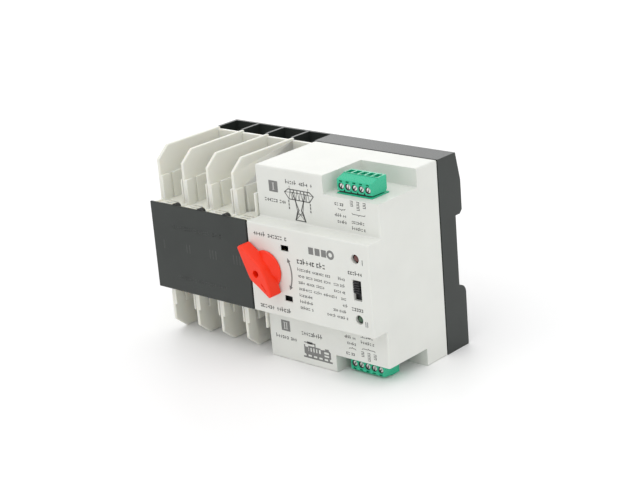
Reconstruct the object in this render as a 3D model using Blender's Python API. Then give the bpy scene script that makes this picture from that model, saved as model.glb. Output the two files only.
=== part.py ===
"""Four-pole transfer switch with a turn handle, on a rail-mounting base.

Sizes below are in millimetres, in a design frame with x from the left side, y from the front panel
backwards and z from the bottom. The pieces are built in metres, +Z up, facing -Y, with the origin under
the middle of the whole switch. It stands on its lower side, with the handle turned to source B.
"""

import math

import bmesh
import bpy
from mathutils import Matrix, Vector

MM = 0.001

# Housing
HEIGHT = 125.0
CONTROL_WIDE = 96.0  # the control housing, right of the poles
BASE_DEEP = 21.4  # from the parting plane to the rear feet
CLEARANCE = 0.3  # between neighbouring pieces
WALL = 2.2  # moulded housing wall
OVERCUT = 1.0  # how far a cutter runs past the face that it opens
JOIN = 0.2  # how deep the root of an added shape sits in its piece

# Poles
POLES = 4
PITCH = 22.0
POLE_LEFT = 0.2
POLE_SHORT = 2.2  # the last pole's inside ends this far before its pitch
FIN = 2.3  # tall barrier between phases
FIN_FRONT = 10.2
FIN_CHAMFER = (9.1, 7.6)  # depth and height of the fin's cut corner
FIN_RIB = 1.0  # how far the ribs on a fin stand out
FIN_RIB_WIDE = 6.6  # front rib, from the fin's front edge
FIN_GROOVE = 2.7  # between the front rib and the raised panel behind it
FIN_RIM = 1.0  # a fin's foot stands this much above the closed block
LOW_WALL = 1.3  # right-hand wall of a pole, as high as the ledge
LEDGE = 18.3  # from the ledge to the end of the fin
BLOCK_HALF = 26.6  # half height of the closed part of a pole
BLOCK_SHELL = 2.0
BACK_WALL = 3.7
VENTS = 3  # slots through a block's roof
VENT_FRONT = 5.0
VENT_STEP = 3.4
VENT_WIDE = 1.1
VENT_HALF = 4.2
COVER_THICK = 1.8
COVER_TAB = 3.0  # radius of the tabs on the cover's upper edge
COVER_TAB_BACK = 5.2
COVER_GAP = 0.7  # between the cover and the control housing

# Front
NOSE_HALF = 29.0  # half height of the front panel
NOSE_RISE = 0.9  # the panel's middle is this far above the housing's
DECK_FRONT = 11.7  # the stepped decks above and below the front panel

# Plug-in terminals, each in a recess of a deck
WAYS = 5
WAY_PITCH = 5.08
PLUG_SIDE = 0.4  # wall outside the first and last way, past half a pitch
PLUG_IN = 9.9  # from the housing's right side to the plug
PLUG_FRONT = 18.2
PLUG_DEEP = 14.1
PLUG_END = 0.4  # how far the plug stays inside the overall height
PLUG_SLOPE = (5.0, 2.3)  # depth and height of the sloped front corner
PLUG_SCREW = 7.3  # screw centre below the end of the housing
PLUG_SCREW_R = 2.05
PLUG_SCREW_BORE = 7.4
ENTRY_HALF = 1.8  # wire entry of a way
ENTRY_FRONT = 6.4  # from the plug's front
ENTRY_BACK = 2.0  # from the plug's back
ENTRY_FLOOR = 8.4
NOTCH_HALF = 1.2  # small notch over each screw
NOTCH_SPAN = (3.3, 4.4)
NOTCH_DEEP = 1.6
RECESS_FREE = 5.7  # recess left of the plug
RECESS_BEHIND = 14.0  # recess behind the header
RECESS_DEEP = 11.6
HEADER_RISE = 0.9  # header rim above the recess floor
HEADER_DEEP = 10.8
HEADER_FLOOR = 2.0
HEADER_WALL = 1.4
HEADER_BEHIND = 1.4  # header stands behind the plug by this much
HEADER_LAP = 0.2  # header stands round the plug by this much
PIN = 1.0
PIN_DROP = 1.5  # the pins end this far inside the rim
TONGUE_DROP = 1.0  # the tongue ends this far above the header's floor
PLUG_CORNER = 1.5  # cut corner behind
SOCKET_GAP = 0.3

# Handle and drive
HANDLE_IN = 13.8  # from the control housing's left side to the axis
HANDLE_OUT = 10.2  # grip's front face in front of the panel
HANDLE_REST = math.radians(-51.0)  # pointer direction at rest, from +X towards +Z
HANDLE_TURN = math.radians(102.0)
SKIRT_R = 12.3
SKIRT_THICK = 1.3
COLLAR = (7.5, 1.6)  # radius and height of the cone between skirt and grip
GRIP_LONG = 20.3  # axis to the plain tip
GRIP_SHORT = 17.0  # axis to the pointing tip
GRIP_HALF = 6.4  # half width at the axis
GRIP_TIP = 1.2  # half width at the tips
GRIP_FLAT = 1.5  # the grip is widest this far to both sides of the axis
GRIP_BACK = 0.7  # from the panel to the grip's rear face
GRIP_HOLE_R = 2.2
GRIP_HOLE_DEEP = 4.2
POINTER_SPAN = (6.8, 12.2)  # engraved line, from the axis
POINTER_HALF = 0.3
POINTER_DEEP = 0.4
SPINDLE_R = 4.2
SPINDLE_PLAY = 0.4  # round the spindle, in what it passes through
SPINDLE_END = 28.0
SQUARE = 4.0
SQUARE_FRONT = 4.6  # the square end in front of the panel
CRANK_R = 10.5
CRANK_ARM = 7.5
CRANK_PIN_R = 1.8
CRANK_THICK = 4.0
MODULE = 1.0
SECTOR_TEETH = 40  # of the full circle that the sector is cut from
SECTOR_HALF = math.radians(58.0)
PINION_TEETH = 12
GEAR_FRONT = 12.0
GEAR_THICK = 6.0
GEAR_HUB = 3.0  # hub round the spindle
PINION_MORE = 0.5  # the pinion is wider than the sector by this much on both sides
PRESSURE_ANGLE = math.radians(20.0)
BACKLASH = 0.16
PLATE_FRONT = 20.5
PLATE_THICK = 1.5
MOTOR_R = 12.0
MOTOR_LONG = 34.0
MOTOR_CAP = (4.0, 2.0)  # radius and height of the bearing cap
MOTOR_SHAFT_R = 1.5
MOTOR_SHAFT_IN = 6.2  # shaft inside the motor
FLAG_FRONT = 3.2
FLAG_THICK = 1.0
FLAG_HALF = math.radians(21.0)
FLAG_LEAD = math.radians(7.0)  # the flag stands this far ahead of the pointer
FLAG_PAST_WINDOW = 3.45  # flag's rim beyond the window's middle
FLAG_HUB = (2.0, 2.5, 2.0)  # inner edge and hub radius past the spindle, and the hub's length
SWITCH_HALF = 9.0  # half width of a limit switch
SWITCH_HIGH = 8.0
SWITCH_DEEP = 6.0
SWITCH_GAP = 2.0  # from the crank disc to the switch
SWITCH_LEVER = (0.7, 2.0)  # height and thickness of its lever

# Contacts
CARRIER_GAP = 2.0  # behind the crank disc
CARRIER_DEEP = 6.0
CARRIER_HALF = 4.0
CARRIER_PLAY = 0.4
YOKE_PLAY = 0.65  # the pin's path is a sine and the carrier's is straight, so the slot is wider
YOKE_END = 1.2  # the slot past the pin's last place
YOKE_WALL = 1.6
HOLDER_ARM = 1.9  # thickness of the arm to each holder
HOLDER_HALF = 3.4  # half depth of the holder round each bridge
HOLDER_SIDE = 2.5
BAR_THICK = 2.0
BAR_HALF = 3.0
BUTTON_R = 2.0
BUTTON_THICK = 0.8
BUTTON_IN = 0.3  # from the bar's end to the button
BRIDGE_GAP = 2.6  # behind the carrier
BRIDGE_LONG = 20.8
FOOT_LONG = 5.2  # overlap of the load terminal's feet and the bridge
SPINE_GAP = 0.6
SPINE_TO_PARTING = 6.0
TAB_FREE = 0.95  # between a terminal tab and the walls of the narrowest pole
TAB_Y = (42.4, 45.0)
TAB_IN = 13.1  # from the end of the nose's side of the housing to the end of a tab
SCREW_IN = 10.8  # screw from the tab's end
SCREW_R = 2.9
TAB_RIM = 1.5  # tab outside the screw's head
SCREW_HEAD = 3.6
SCREW_BEHIND = 5.0  # shank behind the tab
CROSS = (2.6, 0.55, 1.6)  # half length, half width and depth of a screw's cross
PASSAGE = 0.4  # round a bar, in what it passes through
LOAD_HOLE_R = 2.6
LOAD_HOLE_IN = 5.0

# Panel openings
WINDOW = (5.6, 3.3)
WINDOW_OFF = 16.5  # window's middle, right of the handle's axis
WINDOW_RISE = 16.1
LED_IN = 10.7  # from the housing's right side
LED_RISE = 18.8
LED_HOLE_R = 2.8
LED_R = 2.5
LED_DOME = (1.0, 2.0, 0.5)  # tip and shoulder behind the panel's face, and the overlap of the shapes
LED_TAPER = 0.9
LED_FLANGE = (0.5, 1.5)  # wider than the lens by this, and this thick
SLOT_IN = 10.5  # from the housing's right side
SLOT_DROP = 0.6  # slot's middle below the panel's
SLOT_WIDE = 6.0
SLOT_HIGH = 12.5
KNOB_WIDE = 4.4
KNOB_HIGH = 7.4
KNOB_OUT = 0.9
KNOB_RIBS = 5
KNOB_GROOVE = 0.5
STEM_HALF = 0.7
STEM_LONG = 3.0
SWITCH_BODY = (5.5, 8.5)  # half width and half height of the slide switch

# Boards
BOARD_THICK = 1.6
FRONT_BOARD = 7.5
FRONT_BOARD_WIDE = 30.0
MOTOR_TO_BOARD = 3.4
RELAY_SIZE = (19.0, 15.0, 15.0)
RELAY_OFF = 1.3  # left of the middle between the motor and the right wall
RELAY_DROP = 2.4  # below the panel's middle

# Base
BASE_TOP_IN = 3.8  # the top stops this far before the feet's plane
SLANT_LOW = 18.0  # the rear slant ends this far below the top
FOOT_CHAMFER = 2.3
RAIL_UP = 22.5  # upper side of the rail channel, from the panel's middle
RAIL_DOWN = 22.8
RAIL_DEEP = 6.4
FOOT_ROUND = 6.0
FOOT_STEPS = 5
BASE_WALL = 2.5
BASE_SIDE = 3.0
RIB = 2.0
POCKET_FRONT = 1.2  # behind the parting plane
POCKET_WALL = 2.0
POCKET_FLOOR_DEPTH = 29.0  # below the top
POCKET_RAMP_DEPTH = 7.0
POCKET_FLAT = 3.0  # flat floor in front of the ramp
POCKET_LID = 8.0  # between the rear space and the pocket's floor
LOAD_FRONT = 1.4  # load terminal behind the parting plane
LOAD_THICK = 2.0
LOAD_DEPTH = 16.0  # below the top
CLIP_IN = 14.0  # clip's middle, from the control housing's left side
CLIP_WIDE = 22.0
CLIP_DEPTHS = (5.0, 0.5)  # clip's front and back, before the feet's plane
CLIP_BOTTOM = 1.0
CLIP_OVER = 12.6  # hook past the rail channel's lower side
CLIP_SLANT = (1.2, 5.0)
PULL_HALF = 4.0
PULL_Z = (4.0, 6.5)
LUG_WIDE = 18.0
LUG_OFF = (0.8, 45.0)  # left lug from the second pole's end, right one from the right side
LUG_DROP = 7.0
BASE_SCREW_LOW = 14.0  # height of the lower base screws, one behind each pole
CONTROL_SCREW_IN = 12.0  # from the housing's right side
CONTROL_SCREW_DEPTH = 33.0  # below the top
BASE_SCREW_R = 1.7
BASE_SCREW_REACH = 7.0  # in front of the parting plane
BASE_SCREW_HEAD_R = 3.0
BASE_SCREW_HEAD = (2.7, 0.6)  # head's front and back, before the feet's plane
BOSS = 4.0
BOSS_DEEP = 10.0

ROUND = 24  # sides of a large round piece
SMALL_ROUND = 12

# Places that follow from the sizes above
CONTROL_LEFT = POLE_LEFT + PITCH * POLES - POLE_SHORT
POLE_INSIDE = PITCH - POLE_SHORT - CLEARANCE - LOW_WALL - FIN - FIN_RIB
TAB_HALF = POLE_INSIDE / 2 - TAB_FREE
SCREW_HEAD_R = TAB_HALF - TAB_RIM
LOAD_HALF = TAB_HALF - TAB_RIM
WIDTH = CONTROL_LEFT + CONTROL_WIDE
NOSE_MID = HEIGHT / 2 + NOSE_RISE
NOSE_LOW = NOSE_MID - NOSE_HALF
NOSE_HIGH = NOSE_MID + NOSE_HALF
HANDLE_X = CONTROL_LEFT + HANDLE_IN
STROKE = 2 * CRANK_ARM * math.sin(HANDLE_TURN / 2)
REST_DROP = STROKE / 2  # at rest the contacts stand this far below the middle
CARRIER_Y = (SPINDLE_END + CARRIER_GAP, SPINDLE_END + CARRIER_GAP + CARRIER_DEEP)
BRIDGE_Y = (CARRIER_Y[1] + BRIDGE_GAP, CARRIER_Y[1] + BRIDGE_GAP + BRIDGE_LONG)
SPINE_Y = (BRIDGE_Y[1] + SPINE_GAP, BRIDGE_Y[1] + SPINE_GAP + BAR_THICK)
PARTING = SPINE_Y[1] + SPINE_TO_PARTING  # the plane where the light housings meet the dark base
DEPTH = PARTING + BASE_DEEP
MOTOR_FRONT = PLATE_FRONT + PLATE_THICK + CLEARANCE
DEPTH_MID = (DEPTH - HANDLE_OUT) / 2  # middle of everything, from the grip to the rear feet
LOAD_Y = (PARTING + LOAD_FRONT, PARTING + LOAD_FRONT + LOAD_THICK)
LOAD_TOP = HEIGHT - LOAD_DEPTH
SCREW_REACH = HEIGHT / 2 - TAB_IN - SCREW_IN
TAB_REACH = HEIGHT / 2 - TAB_IN
WINDOW_X = HANDLE_X + WINDOW_OFF
FLAG_R = math.hypot(WINDOW_OFF, WINDOW_RISE) + FLAG_PAST_WINDOW
LED_X = WIDTH - LED_IN
SLOT_X = WIDTH - SLOT_IN
SLOT_MID = NOSE_MID - SLOT_DROP
PLUG_BACK = PLUG_FRONT + PLUG_DEEP
PLUG_HALF = WAYS * WAY_PITCH / 2 + PLUG_SIDE
PLUG_MID = WIDTH - PLUG_IN - PLUG_HALF
RECESS_LEFT = PLUG_MID - PLUG_HALF - RECESS_FREE
RECESS_BACK = PLUG_BACK + HEADER_BEHIND + RECESS_BEHIND
FRONT_BOARD_Y = (FRONT_BOARD, FRONT_BOARD + BOARD_THICK)
MAIN_BOARD_FRONT = PLUG_BACK + HEADER_BEHIND + CLEARANCE
MAIN_BOARD_Y = (MAIN_BOARD_FRONT, MAIN_BOARD_FRONT + BOARD_THICK)
BASE_TOP_BACK = DEPTH - BASE_TOP_IN
SLANT_END = HEIGHT - SLANT_LOW
RAIL_HIGH = NOSE_MID + RAIL_UP
RAIL_LOW = NOSE_MID - RAIL_DOWN
RAIL_BACK = DEPTH - RAIL_DEEP
POCKET_Y = (PARTING + POCKET_FRONT, BASE_TOP_BACK - POCKET_WALL)
POCKET_FLOOR = HEIGHT - POCKET_FLOOR_DEPTH
CLIP_X = CONTROL_LEFT + CLIP_IN
CLIP_Y = (DEPTH - CLIP_DEPTHS[0], DEPTH - CLIP_DEPTHS[1])
CLIP_Z = (CLIP_BOTTOM, RAIL_LOW + CLIP_OVER)
LUG_X = (POLE_LEFT + 2 * PITCH + LUG_OFF[0], WIDTH - LUG_OFF[1])
CONTROL_SCREW_X = WIDTH - CONTROL_SCREW_IN
CONTROL_SCREW_HIGH = HEIGHT - CONTROL_SCREW_DEPTH


def at(x, y, z):
    """A point of the design frame, in metres in the part's own frame."""
    return Vector((x - WIDTH / 2, y - DEPTH_MID, z)) * MM


# ---------------------------------------------------------------- scene and materials

for leftover in list(bpy.data.objects):
    bpy.data.objects.remove(leftover)

PARTS = bpy.data.collections.new("transfer_switch")
CUTTERS = bpy.data.collections.new("cutters")
bpy.context.scene.collection.children.link(PARTS)
bpy.context.scene.collection.children.link(CUTTERS)


def material(name, colour, roughness, metallic=0.0):
    made = bpy.data.materials.new(name)
    made.use_nodes = True
    shader = made.node_tree.nodes["Principled BSDF"]
    shader.inputs["Base Color"].default_value = (*colour, 1)
    shader.inputs["Roughness"].default_value = roughness
    shader.inputs["Metallic"].default_value = metallic
    made.diffuse_color = (*colour, 1)
    return made


LIGHT_PLASTIC = material("light_grey_plastic", (0.72, 0.73, 0.70), 0.45)
POLE_PLASTIC = material("warm_white_plastic", (0.70, 0.70, 0.65), 0.45)
DARK_PLASTIC = material("dark_grey_plastic", (0.07, 0.08, 0.075), 0.5)
BLACK_PLASTIC = material("black_plastic", (0.012, 0.012, 0.012), 0.5)
RED_PLASTIC = material("red_plastic", (0.85, 0.06, 0.02), 0.4)
GREEN_PLASTIC = material("green_plastic", (0.02, 0.5, 0.26), 0.35)
COPPER = material("copper", (0.8, 0.36, 0.2), 0.3, 1.0)
SILVER = material("silver_contact", (0.8, 0.8, 0.78), 0.3, 1.0)
STEEL = material("zinc_steel", (0.62, 0.62, 0.6), 0.35, 1.0)
BRASS = material("brass", (0.75, 0.55, 0.2), 0.3, 1.0)
BOARD = material("circuit_board", (0.02, 0.16, 0.07), 0.5)
RED_LENS = material("red_lens", (0.35, 0.05, 0.04), 0.2)
GREEN_LENS = material("green_lens", (0.05, 0.3, 0.07), 0.2)


# ---------------------------------------------------------------- shapes


def mesh_of(bm, name="shape"):
    bmesh.ops.recalc_face_normals(bm, faces=bm.faces)
    made = bpy.data.meshes.new(name)
    bm.to_mesh(made)
    bm.free()
    return made


def box(x, y, z):
    """A box between pairs of design coordinates."""
    low = at(min(x), min(y), min(z))
    high = at(max(x), max(y), max(z))
    bm = bmesh.new()
    size = Matrix.Diagonal((*(high - low), 1))
    bmesh.ops.create_cube(bm, size=1, matrix=Matrix.Translation((low + high) / 2) @ size)
    return mesh_of(bm)


def prism(outline, span, axis="x"):
    """An outline extruded along an axis. Its points are (y, z) along x, and (x, z) along y."""
    bm = bmesh.new()
    if axis == "x":
        corners = [at(span[0], first, second) for first, second in outline]
        shift = Vector(((span[1] - span[0]) * MM, 0, 0))
    else:
        corners = [at(first, span[0], second) for first, second in outline]
        shift = Vector((0, (span[1] - span[0]) * MM, 0))
    face = bm.faces.new([bm.verts.new(corner) for corner in corners])
    grown = bmesh.ops.extrude_face_region(bm, geom=[face])["geom"]
    bmesh.ops.translate(bm, vec=shift, verts=[v for v in grown if isinstance(v, bmesh.types.BMVert)])
    return mesh_of(bm)


def rod(x, z, radius, y, sides=SMALL_ROUND, end_radius=None):
    """A cylinder along y, or a cone when its end has another radius."""
    bm = bmesh.new()
    turn = Matrix.Rotation(math.radians(-90), 4, "X")
    bmesh.ops.create_cone(
        bm,
        cap_ends=True,
        segments=sides,
        radius1=radius * MM,
        radius2=(radius if end_radius is None else end_radius) * MM,
        depth=(y[1] - y[0]) * MM,
        matrix=Matrix.Translation(at(x, (y[0] + y[1]) / 2, z)) @ turn,
    )
    return mesh_of(bm)


def stud(x, y, radius, z, sides=SMALL_ROUND):
    """A cylinder along z."""
    bm = bmesh.new()
    bmesh.ops.create_cone(
        bm,
        cap_ends=True,
        segments=sides,
        radius1=radius * MM,
        radius2=radius * MM,
        depth=abs(z[1] - z[0]) * MM,
        matrix=Matrix.Translation(at(x, y, (z[0] + z[1]) / 2)),
    )
    return mesh_of(bm)


def apply_shape(target, shape, operation):
    """Joins a shape to a piece, or cuts it away, with a helper that stays out of the render."""
    helper = bpy.data.objects.new(f"{target.name}_{operation.lower()}", shape)
    helper.hide_render = True
    helper.display_type = "WIRE"
    CUTTERS.objects.link(helper)
    modifier = target.modifiers.new(operation.title(), "BOOLEAN")
    modifier.operation = operation
    modifier.solver = "EXACT"
    modifier.object = helper


def piece(name, first, look, add=(), cut=(), origin=None, parent=None):
    """One named part: a first shape, what joins it, what is cut from it, and where its origin is."""
    first.name = name
    obj = bpy.data.objects.new(name, first)
    PARTS.objects.link(obj)
    origin = origin or Vector()
    first.transform(Matrix.Translation(-origin))
    obj.location = origin
    if parent:
        obj.parent = parent
        obj.location = origin - parent.location
    first.materials.append(look)
    for shape in add:
        apply_shape(obj, shape, "UNION")
    for shape in cut:
        apply_shape(obj, shape, "DIFFERENCE")
    return obj


def joint_empty(name, place):
    """An empty on a joint's axis, which its moving pieces hang from."""
    made = bpy.data.objects.new(name, None)
    made.location = place
    PARTS.objects.link(made)
    return made


def pole_span(index):
    """Left and right side of a pole. The last one stops at the control housing."""
    left = POLE_LEFT + PITCH * index
    right = CONTROL_LEFT if index == POLES - 1 else left + PITCH
    return left, right - CLEARANCE


def pole_middle(index):
    """Middle of a pole's inside, which is as wide in the last pole as in the others."""
    return POLE_LEFT + PITCH * index + FIN + FIN_RIB + POLE_INSIDE / 2


def above(distance, side):
    """Height of a point this far from the front panel's middle, upwards for side 1, down for -1."""
    return NOSE_MID + side * distance


def end_in(distance, side):
    """Height of a point this far in from the top of the housing, or from its bottom."""
    return HEIGHT - distance if side > 0 else distance


SIDES = {"a": 1, "b": -1}  # source A is above, source B below


# ---------------------------------------------------------------- pole housings


def fin_outline():
    """The tall barrier seen from the side, with its front corners cut off and a foot up to the cover."""
    back = PARTING - CLEARANCE
    foot = COVER_THICK + CLEARANCE
    deep, high = FIN_CHAMFER
    low, top = CLEARANCE, HEIGHT
    rim = FIN_RIM
    return [
        (foot, above(BLOCK_HALF + rim, -1)),
        (foot, above(BLOCK_HALF + rim, 1)),
        (FIN_FRONT, above(BLOCK_HALF + rim, 1)),
        (FIN_FRONT, top - high),
        (FIN_FRONT + deep, top),
        (back, top),
        (back, low),
        (FIN_FRONT + deep, low),
        (FIN_FRONT, low + high),
        (FIN_FRONT, above(BLOCK_HALF + rim, -1)),
    ]


def carrier_window(x):
    """The opening that the contact carrier moves in, through a wall."""
    reach = CARRIER_HALF + STROKE / 2 + CARRIER_PLAY
    depth = (CARRIER_Y[0] - CARRIER_PLAY, CARRIER_Y[1] + CARRIER_PLAY)
    return box(x, depth, (above(reach, -1), above(reach, 1)))


def pole_housing(index):
    left, right = pole_span(index)
    back = PARTING - CLEARANCE
    middle = pole_middle(index)
    foot = COVER_THICK + CLEARANCE
    ledge = (LEDGE, HEIGHT - LEDGE)
    inner_right = right - LOW_WALL
    rib_out = left + FIN + FIN_RIB
    rib_root = left + FIN - JOIN
    panel_front = FIN_FRONT + FIN_RIB_WIDE + FIN_GROOVE
    add = [
        box((left, right), (foot, back), (above(BLOCK_HALF, -1), above(BLOCK_HALF, 1))),
        box((inner_right, right), (FIN_FRONT, back), ledge),
        box((rib_root, rib_out), (FIN_FRONT, FIN_FRONT + FIN_RIB_WIDE), ledge),
        box((rib_root, rib_out), (panel_front, back), ledge),
    ]
    for side in SIDES.values():
        block_end = above(BLOCK_HALF - JOIN, side)
        wall = (block_end, end_in(CLEARANCE, side))
        add.append(box((left, right), (back - BACK_WALL, back), wall))
    inside = (rib_out, inner_right)
    hollow = (above(BLOCK_HALF - BLOCK_SHELL, -1), above(BLOCK_HALF - BLOCK_SHELL, 1))
    cut = [box(inside, (foot + BLOCK_SHELL, back + OVERCUT), hollow)]
    for side in SIDES.values():
        roof = (above(BLOCK_HALF - BLOCK_SHELL - OVERCUT, side), above(BLOCK_HALF + OVERCUT, side))
        passage = BAR_HALF + PASSAGE
        cut.append(box((middle - passage, middle + passage), (TAB_Y[0] - PASSAGE, TAB_Y[1] + PASSAGE), roof))
        for row in range(VENTS):
            front = VENT_FRONT + VENT_STEP * row
            cut.append(box((middle - VENT_HALF, middle + VENT_HALF), (front, front + VENT_WIDE), roof))
    if index > 0:
        cut.append(carrier_window((left - OVERCUT, rib_out + OVERCUT)))
    cut.append(carrier_window((inner_right - OVERCUT, right + OVERCUT)))
    boss = (BASE_SCREW_LOW - BOSS, BASE_SCREW_LOW + BOSS)
    add.append(box((middle - BOSS, middle + BOSS), (back - BOSS_DEEP, back - JOIN), boss))
    bore = (PARTING - BASE_SCREW_REACH - OVERCUT, back + OVERCUT)
    cut.append(rod(middle, BASE_SCREW_LOW, BASE_SCREW_R + CLEARANCE, bore))
    fin = prism(fin_outline(), (left, left + FIN))
    return piece(f"pole_housing_{index + 1}", fin, POLE_PLASTIC, add, cut)


def front_cover():
    """The dark plate over the poles, held by round tabs that lie on the pole blocks."""
    right = CONTROL_LEFT - COVER_GAP
    plate = box((CLEARANCE, right), (0, COVER_THICK), (NOSE_LOW, NOSE_HIGH))
    tabs = []
    for index in range(1, POLES):
        seam = POLE_LEFT + PITCH * index + FIN / 4
        floor = above(BLOCK_HALF + FIN_RIM, 1) + CLEARANCE
        outline = [
            (seam + COVER_TAB * math.cos(turn), floor + 0.75 * COVER_TAB * math.sin(turn))
            for turn in (math.pi * step / 10 for step in range(11))
        ]
        tabs.append(prism(outline, (COVER_THICK / 2, COVER_TAB_BACK), "y"))
    return piece("front_cover", plate, DARK_PLASTIC, tabs)


# ---------------------------------------------------------------- control housing


def control_housing():
    back = PARTING
    outline = [
        (DECK_FRONT, 0),
        (DECK_FRONT, NOSE_LOW),
        (0, NOSE_LOW),
        (0, NOSE_HIGH),
        (DECK_FRONT, NOSE_HIGH),
        (DECK_FRONT, HEIGHT),
        (back - CLEARANCE, HEIGHT),
        (back - CLEARANCE, 0),
    ]
    body = prism(outline, (CONTROL_LEFT, WIDTH))
    wide = (CONTROL_LEFT + WALL, WIDTH - WALL)
    behind = back + OVERCUT
    floor = RECESS_DEEP + WALL
    inside = [
        box(wide, (WALL, DECK_FRONT + WALL + OVERCUT), (NOSE_LOW + WALL, NOSE_HIGH - WALL)),
        box(wide, (DECK_FRONT + WALL, behind), (floor, HEIGHT - floor)),
        box((wide[0], RECESS_LEFT - WALL), (DECK_FRONT + WALL, behind), (WALL, HEIGHT - WALL)),
        box(wide, (RECESS_BACK + WALL, behind), (WALL, HEIGHT - WALL)),
    ]
    cut = []
    header = header_span()
    for side in SIDES.values():
        recess = (end_in(RECESS_DEEP, side), end_in(-OVERCUT, side))
        cut.append(box((RECESS_LEFT, WIDTH + OVERCUT), (DECK_FRONT - OVERCUT, RECESS_BACK), recess))
        through = (end_in(RECESS_DEEP - OVERCUT, side), end_in(floor + OVERCUT, side))
        cut.append(
            box(
                (header[0][0] - CLEARANCE, header[0][1] + CLEARANCE),
                (header[1][0] - CLEARANCE, header[1][1] + CLEARANCE),
                through,
            )
        )
        window_z = above(WINDOW_RISE, side)
        cut.append(
            box(
                (WINDOW_X - WINDOW[0] / 2, WINDOW_X + WINDOW[0] / 2),
                (-OVERCUT, WALL + OVERCUT),
                (window_z - WINDOW[1] / 2, window_z + WINDOW[1] / 2),
            )
        )
        cut.append(rod(LED_X, above(LED_RISE, side), LED_HOLE_R, (-OVERCUT, WALL + OVERCUT)))
    cut.append(
        box(
            (SLOT_X - SLOT_WIDE / 2, SLOT_X + SLOT_WIDE / 2),
            (-OVERCUT, WALL + OVERCUT),
            (SLOT_MID - SLOT_HIGH / 2, SLOT_MID + SLOT_HIGH / 2),
        )
    )
    cut.append(rod(HANDLE_X, NOSE_MID, SPINDLE_R + SPINDLE_PLAY, (-OVERCUT, WALL + OVERCUT), ROUND))
    cut.append(carrier_window((CONTROL_LEFT - OVERCUT, CONTROL_LEFT + WALL + OVERCUT)))
    made = piece("control_housing", body, LIGHT_PLASTIC, (), inside + cut)
    screw_x = CONTROL_SCREW_X
    for screw_z in (BASE_SCREW_LOW, CONTROL_SCREW_HIGH):
        side = (screw_x - BOSS, WIDTH - WALL / 2)
        boss = box(side, (back - BOSS_DEEP - WALL, back - CLEARANCE), (screw_z - BOSS, screw_z + BOSS))
        apply_shape(made, boss, "UNION")
        bore = rod(screw_x, screw_z, BASE_SCREW_R + CLEARANCE, (back - BASE_SCREW_REACH - OVERCUT, behind))
        apply_shape(made, bore, "DIFFERENCE")
    return made


# ---------------------------------------------------------------- base


def pocket_outline():
    """A rear wire pocket from the side: open above, with a ramp up to its rear wall."""
    return [
        (POCKET_Y[0], HEIGHT + OVERCUT),
        (POCKET_Y[1], HEIGHT + OVERCUT),
        (POCKET_Y[1], HEIGHT - POCKET_RAMP_DEPTH),
        (POCKET_Y[0] + POCKET_FLAT, POCKET_FLOOR),
        (POCKET_Y[0], POCKET_FLOOR),
    ]


def base_screw_places():
    """One screw behind each pole, and two in the control housing."""
    poles = [(pole_middle(index), BASE_SCREW_LOW) for index in range(POLES)]
    return [*poles, (CONTROL_SCREW_X, BASE_SCREW_LOW), (CONTROL_SCREW_X, CONTROL_SCREW_HIGH)]


def rear_base():
    turns = [math.pi / 2 * step / FOOT_STEPS for step in range(FOOT_STEPS + 1)]
    foot_corner = [
        (
            DEPTH - FOOT_ROUND + FOOT_ROUND * math.sin(turn),
            RAIL_LOW - FOOT_ROUND + FOOT_ROUND * math.cos(turn),
        )
        for turn in turns
    ]
    outline = [
        (PARTING, 0),
        (PARTING, HEIGHT),
        (BASE_TOP_BACK, HEIGHT),
        (DEPTH, SLANT_END),
        (DEPTH, RAIL_HIGH + FOOT_CHAMFER),
        (DEPTH - FOOT_CHAMFER, RAIL_HIGH),
        (RAIL_BACK, RAIL_HIGH),
        (RAIL_BACK, RAIL_LOW),
        *foot_corner,
        (DEPTH, 0),
    ]
    body = prism(outline, (0, WIDTH))
    floor = BASE_SCREW_LOW + BOSS + RIB
    lid = POCKET_FLOOR - POCKET_LID  # top of the rear space behind the poles
    inner_back = RAIL_BACK - BASE_WALL
    cut = []
    for index in range(POLES):
        left = POLE_LEFT + PITCH * index + (RIB if index == 0 else RIB / 2)
        right = POLE_LEFT + PITCH * (index + 1) - RIB / 2
        if index == POLES - 1:
            right = CONTROL_LEFT - RIB / 2
        middle = pole_middle(index)
        cut.append(box((left, right), (PARTING - OVERCUT, inner_back), (floor, lid)))
        cut.append(prism(pocket_outline(), (left, right)))
        slit = LOAD_HALF + PASSAGE
        cut.append(
            box(
                (middle - slit, middle + slit),
                (PARTING - OVERCUT, LOAD_Y[1] + PASSAGE),
                (lid - OVERCUT, POCKET_FLOOR + OVERCUT),
            )
        )
    right_rib = CONTROL_SCREW_X - BOSS
    tall = (BASE_SIDE, HEIGHT - BASE_SIDE)
    cut.append(box((CONTROL_LEFT + RIB, right_rib), (PARTING - OVERCUT, inner_back), tall))
    hollow = (inner_back - OVERCUT, DEPTH - BASE_WALL)
    half = CLIP_WIDE / 2 + CLEARANCE
    for x in ((BASE_SIDE, CONTROL_LEFT - BASE_SIDE), (CLIP_X + half + BASE_SIDE, right_rib)):
        cut.append(box(x, hollow, (floor, RAIL_LOW - FOOT_ROUND)))
    clip_way = (CLIP_Y[0] - CLEARANCE, DEPTH + OVERCUT)
    cut.append(box((CLIP_X - half, CLIP_X + half), clip_way, (-OVERCUT, RAIL_LOW + OVERCUT)))
    for x, z in base_screw_places():
        head_seat = DEPTH - BASE_SCREW_HEAD[0] - CLEARANCE
        cut.append(rod(x, z, BASE_SCREW_R + CLEARANCE, (PARTING - OVERCUT, head_seat + OVERCUT)))
        cut.append(rod(x, z, BASE_SCREW_HEAD_R + CLEARANCE, (head_seat, DEPTH + OVERCUT)))
    lug_z = (RAIL_HIGH - LUG_DROP, RAIL_HIGH + FOOT_CHAMFER - JOIN)
    lugs = [box((x - LUG_WIDE / 2, x + LUG_WIDE / 2), CLIP_Y, lug_z) for x in LUG_X]
    return piece("rear_base", body, DARK_PLASTIC, lugs, cut)


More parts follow.
